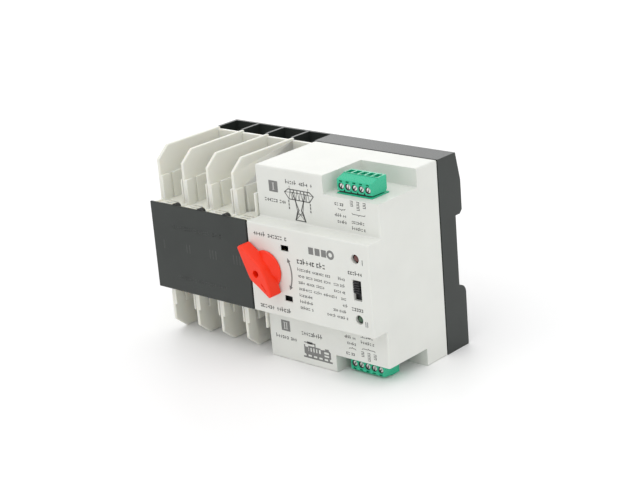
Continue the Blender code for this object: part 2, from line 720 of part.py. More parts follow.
def base_screw(name, x, z):
    head_front, head_back = (DEPTH - depth for depth in BASE_SCREW_HEAD)
    shank = rod(x, z, BASE_SCREW_R, (PARTING - BASE_SCREW_REACH, head_front + OVERCUT / 2))
    head = rod(x, z, BASE_SCREW_HEAD_R, (head_front, head_back))
    half, deep = 0.4, 1.0
    long = BASE_SCREW_HEAD_R - 0.8
    slot = box((x - long, x + long), (head_back - deep, DEPTH), (z - half, z + half))
    return piece(name, shank, STEEL, [head], [slot])


def rail_clip():
    """The slide that grips the rail's lower edge, with a hook above and a pull slot below."""
    half = CLIP_WIDE / 2
    hook = CLIP_Z[1]
    outline = [
        (CLIP_Y[0], CLIP_Z[0]),
        (CLIP_Y[0], hook),
        (CLIP_Y[0] + CLIP_SLANT[0], hook),
        (CLIP_Y[1], hook - CLIP_SLANT[1]),
        (CLIP_Y[1], CLIP_Z[0]),
    ]
    body = prism(outline, (CLIP_X - half, CLIP_X + half))
    pull = box((CLIP_X - PULL_HALF, CLIP_X + PULL_HALF), (CLIP_Y[0] - OVERCUT, CLIP_Y[1] + OVERCUT), PULL_Z)
    place = at(CLIP_X, CLIP_Y[0], CLIP_Z[0])
    return piece("rail_clip", body, BLACK_PLASTIC, (), [pull], origin=place)


# ---------------------------------------------------------------- contacts


def button(x, y, face, side):
    """A silver-faced contact button on a bar's face, pointing up for side 1."""
    return stud(x, y, BUTTON_R, (face - side * JOIN, face + side * BUTTON_THICK))


def fixed_face(side):
    """Height of a fixed contact bar's face, so that a closed contact keeps the clearance."""
    return above(STROKE / 2 + BAR_THICK / 2 + 2 * BUTTON_THICK + CLEARANCE, side)


def source_terminal(name, index, side):
    """A bar from the contact, through the pole's roof, to the screw tab between the fins."""
    middle = pole_middle(index)
    face = fixed_face(side)
    bar = (middle - BAR_HALF, middle + BAR_HALF)
    tab_root = above(BLOCK_HALF + FIN_RIM, side)
    tab = box((middle - TAB_HALF, middle + TAB_HALF), TAB_Y, (tab_root, above(TAB_REACH, side)))
    riser = box(bar, TAB_Y, (face, tab_root + side * OVERCUT))
    foot = box(bar, (BRIDGE_Y[0], TAB_Y[1] - JOIN), (face, face + side * BAR_THICK))
    tip = button(middle, BRIDGE_Y[0] + BUTTON_R + BUTTON_IN, face, -side)
    through = (TAB_Y[0] - OVERCUT, TAB_Y[1] + OVERCUT)
    hole = rod(middle, above(SCREW_REACH, side), SCREW_R + CLEARANCE, through)
    return piece(name, tab, COPPER, [riser, foot, tip], [hole])


def terminal_screw(name, index, side):
    middle = pole_middle(index)
    height = above(SCREW_REACH, side)
    head_back = TAB_Y[0] - CLEARANCE
    shank = rod(middle, height, SCREW_R, (head_back - OVERCUT, TAB_Y[1] + SCREW_BEHIND))
    head = rod(middle, height, SCREW_HEAD_R, (head_back - SCREW_HEAD, head_back), ROUND)
    front = head_back - SCREW_HEAD
    long, half, deep = CROSS
    cross = [
        box((middle - long, middle + long), (front - OVERCUT, front + deep), (height - half, height + half)),
        box((middle - half, middle + half), (front - OVERCUT, front + deep), (height - long, height + long)),
    ]
    return piece(name, shank, STEEL, [head], cross)


def load_terminal(name, index):
    """A bar that both throws close onto, and that leads up into the rear pocket."""
    middle = pole_middle(index)
    bar = (middle - BAR_HALF, middle + BAR_HALF)
    ends = {side: fixed_face(side) + side * BAR_THICK for side in SIDES.values()}
    spine = box(bar, SPINE_Y, (ends[-1], ends[1]))
    add = []
    for side in SIDES.values():
        foot = box(bar, (BRIDGE_Y[1] - FOOT_LONG, SPINE_Y[0] + JOIN), (fixed_face(side), ends[side]))
        add.append(foot)
        add.append(button(middle, BRIDGE_Y[1] - BUTTON_R - BUTTON_IN, fixed_face(side), -side))
    tail = (NOSE_MID - BAR_THICK, NOSE_MID + BAR_THICK)
    add.append(box(bar, (SPINE_Y[1] - JOIN, LOAD_Y[1]), tail))
    add.append(box((middle - LOAD_HALF, middle + LOAD_HALF), LOAD_Y, (tail[0] - JOIN, LOAD_TOP)))
    hole = rod(middle, LOAD_TOP - LOAD_HOLE_IN, LOAD_HOLE_R, (LOAD_Y[0] - OVERCUT, LOAD_Y[1] + OVERCUT))
    return piece(name, spine, COPPER, add, [hole])


def contact_carrier(place):
    """The moulded bar that carries all four bridges, with a slot for the crank pin at its right end."""
    level = NOSE_MID - REST_DROP
    slot_left = HANDLE_X + CRANK_ARM * math.cos(HANDLE_TURN / 2) - CRANK_PIN_R - YOKE_END
    slot_right = HANDLE_X + CRANK_ARM + CRANK_PIN_R + YOKE_END
    left = POLE_LEFT + FIN + FIN_RIB + OVERCUT
    bar = box((left, slot_right + YOKE_WALL), CARRIER_Y, (level - CARRIER_HALF, level + CARRIER_HALF))
    add = []
    cut = []
    holder_mid = (BRIDGE_Y[0] + BRIDGE_Y[1]) / 2
    holder_y = (holder_mid - HOLDER_HALF, holder_mid + HOLDER_HALF)
    for index in range(POLES):
        middle = pole_middle(index)
        out = BAR_HALF + HOLDER_SIDE
        height = (level - CARRIER_HALF, level + CARRIER_HALF)
        add.append(box((middle - out, middle + out), holder_y, height))
        arm_y = (CARRIER_Y[1] - OVERCUT, holder_y[0] + OVERCUT)
        add.append(box((middle - out, middle - out + HOLDER_ARM), arm_y, height))
        seat = BAR_HALF + CLEARANCE
        cut.append(
            box(
                (middle - seat, middle + seat),
                (holder_y[0] - OVERCUT, holder_y[1] + OVERCUT),
                (level - BAR_THICK / 2 - CLEARANCE, level + BAR_THICK / 2 + CLEARANCE),
            )
        )
    slot_half = CRANK_PIN_R + YOKE_PLAY
    cut.append(
        box(
            (slot_left, slot_right),
            (CARRIER_Y[0] - OVERCUT, CARRIER_Y[1] + OVERCUT),
            (level - slot_half, level + slot_half),
        )
    )
    return piece("contact_carrier", bar, BLACK_PLASTIC, add, cut, origin=place.location, parent=place)


def moving_contact(index, place):
    middle = pole_middle(index)
    level = NOSE_MID - REST_DROP
    half = BAR_THICK / 2
    bridge = box((middle - BAR_HALF, middle + BAR_HALF), BRIDGE_Y, (level - half, level + half))
    add = []
    for y in (BRIDGE_Y[0] + BUTTON_R + BUTTON_IN, BRIDGE_Y[1] - BUTTON_R - BUTTON_IN):
        for side in SIDES.values():
            add.append(button(middle, y, level + side * half, side))
    name = f"moving_contact_{index + 1}"
    return piece(name, bridge, SILVER, add, origin=place.location, parent=place)


# ---------------------------------------------------------------- handle and drive


def turned(along, across, angle):
    """A point of the panel, from the handle's axis: along the pointer and to its left."""
    x = HANDLE_X + along * math.cos(angle) - across * math.sin(angle)
    z = NOSE_MID + along * math.sin(angle) + across * math.cos(angle)
    return x, z


def sector(radius_in, radius_out, middle, half, steps=12):
    """Outline of a ring's sector about the handle's axis."""
    turns = [middle - half + 2 * half * step / steps for step in range(steps + 1)]
    outer = [turned(radius_out * math.cos(t), radius_out * math.sin(t), 0) for t in turns]
    inner = [turned(radius_in * math.cos(t), radius_in * math.sin(t), 0) for t in reversed(turns)]
    return outer + inner


def handle(place):
    """The lever grip on its round skirt, with a blind hole in front and a square socket behind."""
    grip = [
        (-GRIP_LONG, GRIP_TIP),
        (-GRIP_LONG, -GRIP_TIP),
        (-GRIP_FLAT, -GRIP_HALF),
        (GRIP_FLAT, -GRIP_HALF),
        (GRIP_SHORT, -GRIP_TIP),
        (GRIP_SHORT, GRIP_TIP),
        (GRIP_FLAT, GRIP_HALF),
        (-GRIP_FLAT, GRIP_HALF),
    ]
    outline = [turned(along, across, HANDLE_REST) for along, across in grip]
    body = prism(outline, (-HANDLE_OUT, -GRIP_BACK), "y")
    skirt_front = -CLEARANCE - SKIRT_THICK
    collar_y = (skirt_front - COLLAR[1], skirt_front + JOIN)
    add = [
        rod(HANDLE_X, NOSE_MID, SKIRT_R, (skirt_front, -CLEARANCE), ROUND),
        rod(HANDLE_X, NOSE_MID, COLLAR[0], collar_y, ROUND, SKIRT_R - JOIN),
    ]
    socket = SQUARE / 2 + CLEARANCE
    near, far = POINTER_SPAN
    line = ((near, -POINTER_HALF), (far, -POINTER_HALF), (far, POINTER_HALF), (near, POINTER_HALF))
    pointer = [turned(along, across, HANDLE_REST) for along, across in line]
    cut = [
        rod(HANDLE_X, NOSE_MID, GRIP_HOLE_R, (-HANDLE_OUT - OVERCUT, -HANDLE_OUT + GRIP_HOLE_DEEP)),
        box(
            (HANDLE_X - socket, HANDLE_X + socket),
            (-SQUARE_FRONT - PASSAGE, OVERCUT),
            (NOSE_MID - socket, NOSE_MID + socket),
        ),
        prism(pointer, (-HANDLE_OUT - OVERCUT, -HANDLE_OUT + POINTER_DEEP), "y"),
    ]
    return piece("handle", body, RED_PLASTIC, add, cut, origin=place.location, parent=place)


def handle_spindle(place):
    half = SQUARE / 2
    shaft = rod(HANDLE_X, NOSE_MID, SPINDLE_R, (0.0, SPINDLE_END), ROUND)
    across = (NOSE_MID - half, NOSE_MID + half)
    square = box((HANDLE_X - half, HANDLE_X + half), (-SQUARE_FRONT, OVERCUT), across)
    return piece("handle_spindle", shaft, STEEL, [square], origin=place.location, parent=place)


def crank(place):
    """The disc behind the mechanism plate whose pin lifts the contact carrier."""
    back = SPINDLE_END
    disc = rod(HANDLE_X, NOSE_MID, CRANK_R, (back - CRANK_THICK, back), ROUND)
    x, z = turned(CRANK_ARM, 0, HANDLE_REST)
    pin = rod(x, z, CRANK_PIN_R, (back - OVERCUT, CARRIER_Y[1] - CLEARANCE))
    through = (back - CRANK_THICK - OVERCUT, back + OVERCUT)
    bore = rod(HANDLE_X, NOSE_MID, SPINDLE_R + CLEARANCE, through, ROUND)
    return piece("crank_disc", disc, STEEL, [pin], [bore], origin=place.location, parent=place)


def involute(base_radius, radius):
    """Angle that an involute has turned through where it reaches this radius."""
    pressure = math.acos(base_radius / radius)
    return math.tan(pressure) - pressure


def tooth_flank(teeth, addendum, dedendum, steps=4):
    """Points of one tooth's rising flank as (radius, angle before the tooth's middle)."""
    pitch_radius = MODULE * teeth / 2
    base_radius = pitch_radius * math.cos(PRESSURE_ANGLE)
    root = pitch_radius - dedendum * MODULE
    tip = pitch_radius + addendum * MODULE
    half_tooth = math.pi / (2 * teeth) - BACKLASH / 2 / pitch_radius
    start = max(root, base_radius)
    at_pitch = involute(base_radius, pitch_radius)
    flank = []
    for step in range(steps + 1):
        radius = start + (tip - start) * step / steps
        flank.append((radius, half_tooth + at_pitch - involute(base_radius, radius)))
    if root < start:
        flank.insert(0, (root, flank[0][1] * 0.9))
    return flank


def teeth_outline(centre, teeth, first_angle, count, addendum, dedendum):
    """Outline points of a run of teeth, anticlockwise seen from the front."""
    points = []
    flank = tooth_flank(teeth, addendum, dedendum)
    for number in range(count):
        middle = first_angle + 2 * math.pi * number / teeth
        rising = [(radius, middle - away) for radius, away in flank]
        falling = [(radius, middle + away) for radius, away in reversed(flank)]
        for radius, angle in rising + falling:
            points.append((centre[0] + radius * math.cos(angle), centre[1] + radius * math.sin(angle)))
    return points


def gear_distance():
    return MODULE * (SECTOR_TEETH + PINION_TEETH) / 2


def sector_gear(place):
    """Toothed sector on the spindle. A gap between teeth faces the pinion at rest."""
    tooth = 2 * math.pi / SECTOR_TEETH
    reach = int(SECTOR_HALF / tooth)
    first = tooth / 2 + tooth * math.floor((HANDLE_REST - SECTOR_HALF) / tooth)
    count = 2 * reach + 1
    points = teeth_outline((HANDLE_X, NOSE_MID), SECTOR_TEETH, first, count, 0.7, 1.25)
    hub = SPINDLE_R + GEAR_HUB
    last = first + tooth * (count - 1)
    closing = [turned(hub * math.cos(t), hub * math.sin(t), 0) for t in (last, (first + last) / 2, first)]
    body = prism(points + closing, (GEAR_FRONT, GEAR_FRONT + GEAR_THICK), "y")
    ring = rod(HANDLE_X, NOSE_MID, hub + OVERCUT, (GEAR_FRONT, PLATE_FRONT - OVERCUT), ROUND)
    bore = rod(HANDLE_X, NOSE_MID, SPINDLE_R + CLEARANCE, (GEAR_FRONT - OVERCUT, PLATE_FRONT), ROUND)
    return piece("sector_gear", body, BRASS, [ring], [bore], origin=place.location, parent=place)


def motor_pinion(place):
    """The pinion on the motor's shaft, with a tooth facing the sector's gap."""
    centre = (HANDLE_X + gear_distance(), NOSE_MID)
    points = teeth_outline(centre, PINION_TEETH, math.pi, PINION_TEETH, 0.8, 1.3)
    body = prism(points, (GEAR_FRONT - PINION_MORE, GEAR_FRONT + GEAR_THICK + PINION_MORE), "y")
    shaft = rod(*centre, MOTOR_SHAFT_R, (GEAR_FRONT + OVERCUT, MOTOR_FRONT + MOTOR_SHAFT_IN))
    return piece("motor_pinion", body, BRASS, [shaft], origin=place.location, parent=place)


def motor():
    centre = (HANDLE_X + gear_distance(), NOSE_MID)
    back = MOTOR_FRONT + MOTOR_LONG
    can = rod(*centre, MOTOR_R, (MOTOR_FRONT, back), ROUND)
    cap = rod(*centre, MOTOR_CAP[0], (back - OVERCUT, back + MOTOR_CAP[1]))
    shaft_end = MOTOR_FRONT + MOTOR_SHAFT_IN
    bore = rod(*centre, MOTOR_SHAFT_R + CLEARANCE, (MOTOR_FRONT - OVERCUT, shaft_end + OVERCUT))
    return piece("motor", can, STEEL, [cap], [bore])


def mechanism_plate():
    """The steel plate that the spindle, the motor and the switches are mounted on."""
    left = CONTROL_LEFT + WALL + CLEARANCE
    right = RECESS_LEFT - WALL - CLEARANCE
    motor_right = HANDLE_X + gear_distance() + MOTOR_R + OVERCUT
    y = (PLATE_FRONT, PLATE_FRONT + PLATE_THICK)
    margin = WALL + CLEARANCE
    outline = [
        (left, margin),
        (right, margin),
        (right, NOSE_MID - MOTOR_R),
        (motor_right, NOSE_MID - MOTOR_R),
        (motor_right, NOSE_MID + MOTOR_R),
        (right, NOSE_MID + MOTOR_R),
        (right, HEIGHT - margin),
        (left, HEIGHT - margin),
    ]
    body = prism(outline, y, "y")
    through = (y[0] - OVERCUT, y[1] + OVERCUT)
    cut = [
        rod(HANDLE_X, NOSE_MID, SPINDLE_R + SPINDLE_PLAY, through, ROUND),
        rod(HANDLE_X + gear_distance(), NOSE_MID, MOTOR_SHAFT_R + SPINDLE_PLAY, through),
    ]
    return piece("mechanism_plate", body, STEEL, (), cut)


def microswitch(name, side):
    """A limit switch that the crank reaches at one end of its turn."""
    near = CRANK_R + SWITCH_GAP
    body_y = (MOTOR_FRONT, MOTOR_FRONT + SWITCH_DEEP)
    body_z = (above(near, side), above(near + SWITCH_HIGH, side))
    body = box((HANDLE_X - SWITCH_HALF, HANDLE_X + SWITCH_HALF), body_y, body_z)
    high, thick = SWITCH_LEVER
    reach = SWITCH_HALF - thick
    lever_y = (MOTOR_FRONT + thick, MOTOR_FRONT + 2 * thick)
    lever_z = (above(near - high, side), above(near + OVERCUT, side))
    lever = box((HANDLE_X - reach, HANDLE_X + reach), lever_y, lever_z)
    return piece(name, body, BLACK_PLASTIC, [lever])


def indicator_flag(place):
    """The dark flag that fills one panel window or the other."""
    middle = HANDLE_REST + FLAG_LEAD
    y = (FLAG_FRONT, FLAG_FRONT + FLAG_THICK)
    inner, hub, long = FLAG_HUB
    body = prism(sector(SPINDLE_R + inner, FLAG_R, middle, FLAG_HALF), y, "y")
    ring = rod(HANDLE_X, NOSE_MID, SPINDLE_R + hub, (y[0], y[1] + long), ROUND)
    bore = rod(HANDLE_X, NOSE_MID, SPINDLE_R + CLEARANCE, (y[0] - OVERCUT, y[1] + long + OVERCUT), ROUND)
    return piece("indicator_flag", body, BLACK_PLASTIC, [ring], [bore], origin=place.location, parent=place)


# ---------------------------------------------------------------- boards, lamps and slide switch


def front_board():
    gap = WALL + CLEARANCE
    z = (NOSE_LOW + gap, NOSE_HIGH - gap)
    body = box((WIDTH - FRONT_BOARD_WIDE, WIDTH - gap), FRONT_BOARD_Y, z)
    return piece("front_board", body, BOARD)


def lamp(name, side, look):
    """A round lamp that ends just inside its panel hole."""
    z = above(LED_RISE, side)
    back = FRONT_BOARD_Y[0] - CLEARANCE
    tip, shoulder, overlap = LED_DOME
    lens = rod(LED_X, z, LED_R, (shoulder, back - overlap))
    dome = rod(LED_X, z, LED_R - LED_TAPER, (tip, shoulder + overlap), SMALL_ROUND, LED_R - LED_TAPER / 9)
    flange = rod(LED_X, z, LED_R + LED_FLANGE[0], (back - LED_FLANGE[1], back))
    return piece(name, lens, look, [dome, flange])


def slide_switch_body():
    y = (WALL + 2 * CLEARANCE, FRONT_BOARD_Y[0] - CLEARANCE)
    half, tall = SWITCH_BODY
    body = box((SLOT_X - half, SLOT_X + half), y, (SLOT_MID - tall, SLOT_MID + tall))
    way = STEM_HALF + CLEARANCE
    long = SLOT_HIGH / 2
    stem_y = (y[0] - OVERCUT, y[1] - OVERCUT)
    stem_slot = box((SLOT_X - way, SLOT_X + way), stem_y, (SLOT_MID - long, SLOT_MID + long))
    return piece("slide_switch_body", body, BLACK_PLASTIC, (), [stem_slot])


def slide_knob(place):
    """The ribbed slider, at the upper end of its slot at rest."""
    top = SLOT_MID + SLOT_HIGH / 2 - CLEARANCE
    low = top - KNOB_HIGH
    half = KNOB_WIDE / 2
    body = box((SLOT_X - half, SLOT_X + half), (-KNOB_OUT + KNOB_GROOVE, WALL + CLEARANCE), (low, top))
    ribs = []
    step = KNOB_HIGH / KNOB_RIBS
    for number in range(KNOB_RIBS):
        z = low + step * number
        span = (z + KNOB_GROOVE / 2, z + step - KNOB_GROOVE / 2)
        ribs.append(box((SLOT_X - half, SLOT_X + half), (-KNOB_OUT, JOIN), span))
    middle = (low + top) / 2
    stem_z = (middle - 2 * STEM_HALF, middle + 2 * STEM_HALF)
    ribs.append(box((SLOT_X - STEM_HALF, SLOT_X + STEM_HALF), (WALL, WALL + STEM_LONG), stem_z))
    return piece("slide_knob", body, BLACK_PLASTIC, ribs, origin=place.location, parent=place)


def main_board():
    gap = RECESS_DEEP + WALL + CLEARANCE
    left = HANDLE_X + gear_distance() + MOTOR_R + MOTOR_TO_BOARD
    body = box((left, WIDTH - WALL - CLEARANCE), MAIN_BOARD_Y, (gap, HEIGHT - gap))
    return piece("main_board", body, BOARD)


def relay():
    front = MAIN_BOARD_Y[1] + CLEARANCE
    wide, deep, high = RELAY_SIZE
    motor_right = HANDLE_X + gear_distance() + MOTOR_R
    middle = (motor_right + WIDTH - WALL) / 2 - RELAY_OFF
    top = NOSE_MID - RELAY_DROP
    body = box((middle - wide / 2, middle + wide / 2), (front, front + deep), (top - high, top))
    return piece("relay", body, BLACK_PLASTIC)


# ---------------------------------------------------------------- plug-in terminals


def plug_span():
    return PLUG_MID - PLUG_HALF, PLUG_MID + PLUG_HALF


def header_span():
    """x and y of the header that the plug sits in."""
    left, right = plug_span()
    return (left - HEADER_LAP, right + HEADER_LAP), (PLUG_FRONT - HEADER_LAP, PLUG_BACK + HEADER_BEHIND)


def way_x(number):
    return PLUG_MID + WAY_PITCH * (number - (WAYS - 1) / 2)


def header_depths():
    """How far the rim, the floor and the back of a header lie in from the end of the housing."""
    rim = RECESS_DEEP - HEADER_RISE
    return rim, rim + HEADER_DEEP - HEADER_FLOOR, rim + HEADER_DEEP


def header(name, side):
    """The socket on the main board, a tray with a row of pins."""
    x, y = header_span()
    rim, floor, back = header_depths()
    body = box(x, y, (end_in(rim, side), end_in(back, side)))
    hollow = box(
        (x[0] + HEADER_WALL, x[1] - HEADER_WALL),
        (y[0] + HEADER_WALL, PLUG_BACK - HEADER_WALL + HEADER_LAP),
        (end_in(rim - OVERCUT, side), end_in(floor, side)),
    )
    made = piece(name, body, GREEN_PLASTIC, (), [hollow])
    pin_y = (PLUG_FRONT + PLUG_BACK) / 2
    for number in range(WAYS):
        middle = way_x(number)
        pin = box(
            (middle - PIN / 2, middle + PIN / 2),
            (pin_y - PIN / 2, pin_y + PIN / 2),
            (end_in(floor + JOIN, side), end_in(rim + PIN_DROP, side)),
        )
        apply_shape(made, pin, "UNION")
    return made


def plug(name, side, place):
    """The pull-off block: a sloped body with wire entries and screws, and a tongue in the header."""
    left, right = plug_span()
    rim, floor, _ = header_depths()
    seat = rim - CLEARANCE
    deep, high = PLUG_SLOPE
    outline = [
        (PLUG_FRONT, end_in(seat, side)),
        (PLUG_FRONT, end_in(PLUG_END + high, side)),
        (PLUG_FRONT + deep, end_in(PLUG_END, side)),
        (PLUG_BACK, end_in(PLUG_END, side)),
        (PLUG_BACK, end_in(seat - PLUG_CORNER, side)),
        (PLUG_BACK - PLUG_CORNER, end_in(seat, side)),
    ]
    body = prism(outline, (left, right))
    (header_left, header_right), (header_front, _) = header_span()
    inset = HEADER_WALL + SOCKET_GAP
    tongue = box(
        (header_left + inset, header_right - inset),
        (header_front + inset, PLUG_BACK - HEADER_WALL + HEADER_LAP - SOCKET_GAP),
        (end_in(seat - OVERCUT, side), end_in(floor - TONGUE_DROP, side)),
    )
    cut = []
    pin_y = (PLUG_FRONT + PLUG_BACK) / 2
    hole = PIN / 2 + SOCKET_GAP
    entry_y = (PLUG_FRONT + ENTRY_FRONT, PLUG_BACK - ENTRY_BACK)
    entry_z = (end_in(-OVERCUT, side), end_in(ENTRY_FLOOR, side))
    notch_y = (PLUG_FRONT - OVERCUT, PLUG_FRONT + NOTCH_DEEP)
    notch_z = tuple(end_in(depth, side) for depth in NOTCH_SPAN)
    socket_z = (end_in(floor + OVERCUT, side), end_in(rim + 2 * CLEARANCE, side))
    bore_y = (PLUG_FRONT - OVERCUT, PLUG_FRONT + PLUG_SCREW_BORE)
    for number in range(WAYS):
        middle = way_x(number)
        cut.append(box((middle - ENTRY_HALF, middle + ENTRY_HALF), entry_y, entry_z))
        cut.append(rod(middle, end_in(PLUG_SCREW, side), PLUG_SCREW_R, bore_y))
        cut.append(box((middle - NOTCH_HALF, middle + NOTCH_HALF), notch_y, notch_z))
        cut.append(box((middle - hole, middle + hole), (pin_y - hole, pin_y + hole), socket_z))
    return piece(name, body, GREEN_PLASTIC, [tongue], cut, origin=place.location, parent=place)


# ---------------------------------------------------------------- assembly


def build():
    rear_base()
    for number, (x, z) in enumerate(base_screw_places()):
        base_screw(f"base_screw_{number + 1}", x, z)
    rail_clip()
    control_housing()
    front_cover()

    carrier_slide = joint_empty("contact_slide", at(HANDLE_X, CARRIER_Y[0], NOSE_MID - REST_DROP))
    contact_carrier(carrier_slide)
    for index in range(POLES):
        pole_housing(index)
        moving_contact(index, carrier_slide)
        load_terminal(f"load_terminal_{index + 1}", index)
        for letter, side in SIDES.items():
            source_terminal(f"source_{letter}_terminal_{index + 1}", index, side)
            terminal_screw(f"source_{letter}_screw_{index + 1}", index, side)

    handle_turn = joint_empty("handle_turn", at(HANDLE_X, 0, NOSE_MID))
    handle(handle_turn)
    handle_spindle(handle_turn)
    crank(handle_turn)
    sector_gear(handle_turn)
    indicator_flag(handle_turn)
    motor_pinion(joint_empty("pinion_spin", at(HANDLE_X + gear_distance(), GEAR_FRONT, NOSE_MID)))
    motor()
    mechanism_plate()
    for letter, side in SIDES.items():
        microswitch(f"microswitch_{letter}", side)

    front_board()
    lamp("lamp_a", SIDES["a"], RED_LENS)
    lamp("lamp_b", SIDES["b"], GREEN_LENS)
    slide_switch_body()
    slide_knob(joint_empty("mode_slide", at(SLOT_X, 0, SLOT_MID)))
    main_board()
    relay()
    for letter, side in SIDES.items():
        header(f"header_{letter}", side)
        pull = joint_empty(f"plug_{letter}_pull", at(PLUG_MID, PLUG_FRONT, end_in(RECESS_DEEP, side)))
        plug(f"plug_{letter}", side, pull)


build()
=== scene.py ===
"""Looks of the four-pole transfer switch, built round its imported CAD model.

Sizes are in millimetres in the part's design frame: x from the left side, y from the front panel
backwards and z from the bottom.
"""

import math
import random

import bmesh
import bpy
from mathutils import Matrix, Vector


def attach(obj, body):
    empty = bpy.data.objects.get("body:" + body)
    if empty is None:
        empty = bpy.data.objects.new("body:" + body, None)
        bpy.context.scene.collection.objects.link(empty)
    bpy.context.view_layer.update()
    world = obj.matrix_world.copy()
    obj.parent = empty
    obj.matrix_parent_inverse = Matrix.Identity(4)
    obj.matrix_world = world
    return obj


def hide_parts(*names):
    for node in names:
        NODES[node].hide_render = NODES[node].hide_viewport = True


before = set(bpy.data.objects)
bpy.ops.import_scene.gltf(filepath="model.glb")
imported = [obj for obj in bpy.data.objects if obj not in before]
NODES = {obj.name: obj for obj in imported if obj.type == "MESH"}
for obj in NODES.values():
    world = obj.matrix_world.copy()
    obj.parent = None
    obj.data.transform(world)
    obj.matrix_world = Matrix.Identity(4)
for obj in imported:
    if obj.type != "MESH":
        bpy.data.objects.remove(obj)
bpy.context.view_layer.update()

BODY = "switch_body"

# The whole, and the depth at which the frame's origin lies.
MM = 0.001
WIDTH = 182.0
HEIGHT = 125.0
DEPTH = 89.4
DEPTH_MID = 39.6

# The raised nose, the deck above and below it, and the plane where the housings meet the rear base.
NOSE_LOW = 34.4
NOSE_HIGH = 92.4
NOSE_MID = 63.4
DECK = 11.7
PARTING = 68.0
CLEARANCE = 0.3
HOUSING_BACK = PARTING - CLEARANCE

# The poles at the left. SCREW_OUT is how far a source screw stands above or below the nose's middle.
POLES = 4
PITCH = 22.0
POLE_LEFT = 0.2
POLE_MIDDLE = 10.75
SCREW_OUT = 38.6

# The control housing at the right. LAMP_OUT and WINDOW_OUT are measured from the nose's middle too.
CONTROL_LEFT = 86.0
WALL = 2.2
HANDLE_X = 99.8
HANDLE_REST = math.radians(-51.0)
LAMP_X = 171.3
LAMP_OUT = 18.8
WINDOW_OUT = 16.1
SLOT_X = 171.5
SLOT_MID = 62.8
SLOT_HALF = 6.25

# The two plug-in terminals of five ways.
PLUG_MID = 159.0
WAYS = 5
WAY = 5.08
PLUG_HALF = 13.1
PLUG_FRONT = 18.2
PLUG_BACK = 32.3

# The rear base, with its channel for the rail.
CHANNEL = 83.0
POCKET_BACK = 83.6

# A drawn line's usual width, and how far a print stands out of and into the face it lies on.
FINE = 0.35
PRINT_OUT = 0.05
PRINT_IN = 0.15


def at(x, y, z):
    """A point of the design frame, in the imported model's metres."""
    return Vector(((x - WIDTH / 2) * MM, (y - DEPTH_MID) * MM, z * MM))


# ---------------------------------------------------------------- materials


def node_tree(name):
    made = bpy.data.materials.new(name)
    made.use_nodes = True
    tree = made.node_tree
    return made, tree, tree.nodes["Principled BSDF"]


def noise(tree, place, scale, detail=3.0):
    found = tree.nodes.new("ShaderNodeTexNoise")
    found.inputs["Scale"].default_value = scale
    found.inputs["Detail"].default_value = detail
    tree.links.new(place, found.inputs["Vector"])
    return found.outputs["Fac"]


def remap(tree, value, low, high):
    """Stretches the middle of a noise's range over low to high."""
    found = tree.nodes.new("ShaderNodeMapRange")
    found.inputs["From Min"].default_value = 0.3
    found.inputs["From Max"].default_value = 0.7
    found.inputs["To Min"].default_value = low
    found.inputs["To Max"].default_value = high
    tree.links.new(value, found.inputs["Value"])
    return found.outputs["Result"]


def tint(tree, amount, first, second):
    found = tree.nodes.new("ShaderNodeMix")
    found.data_type = "RGBA"
    found.inputs["A"].default_value = (*first, 1)
    found.inputs["B"].default_value = (*second, 1)
    tree.links.new(amount, found.inputs["Factor"])
    return found.outputs["Result"]


def moulded(
    name,
    colour,
    rough,
    grain=1800.0,
    bump=0.10,
    spread=0.025,
    soft=0.0,
    metal=0.0,
    coat=0.0,
    gloss=0.5,
):
    """A plastic, ink, board or metal: slow colour drift, and fine grain in roughness and relief."""
    drift_scale = 38.0
    rough_swing = 0.06
    grain_height = 0.00008
    made, tree, shader = node_tree(name)
    place = tree.nodes.new("ShaderNodeTexCoord").outputs["Object"]
    dark = [c * (1 - spread) for c in colour]
    light = [min(1.0, c * (1 + spread)) for c in colour]
    drift = remap(tree, noise(tree, place, drift_scale), 0, 1)
    tree.links.new(tint(tree, drift, dark, light), shader.inputs["Base Color"])
    fine = noise(tree, place, grain)
    uneven = remap(tree, fine, rough - rough_swing, rough + rough_swing)
    tree.links.new(uneven, shader.inputs["Roughness"])
    relief = tree.nodes.new("ShaderNodeBump")
    relief.inputs["Strength"].default_value = bump
    relief.inputs["Distance"].default_value = grain_height
    tree.links.new(fine, relief.inputs["Height"])
    tree.links.new(relief.outputs["Normal"], shader.inputs["Normal"])
    shader.inputs["Metallic"].default_value = metal
    shader.inputs["Coat Weight"].default_value = coat
    shader.inputs["Specular IOR Level"].default_value = gloss
    if soft:
        shader.inputs["Subsurface Weight"].default_value = soft
        shader.inputs["Subsurface Radius"].default_value = (1.0, 0.9, 0.7)
        shader.inputs["Subsurface Scale"].default_value = 0.002
    return made


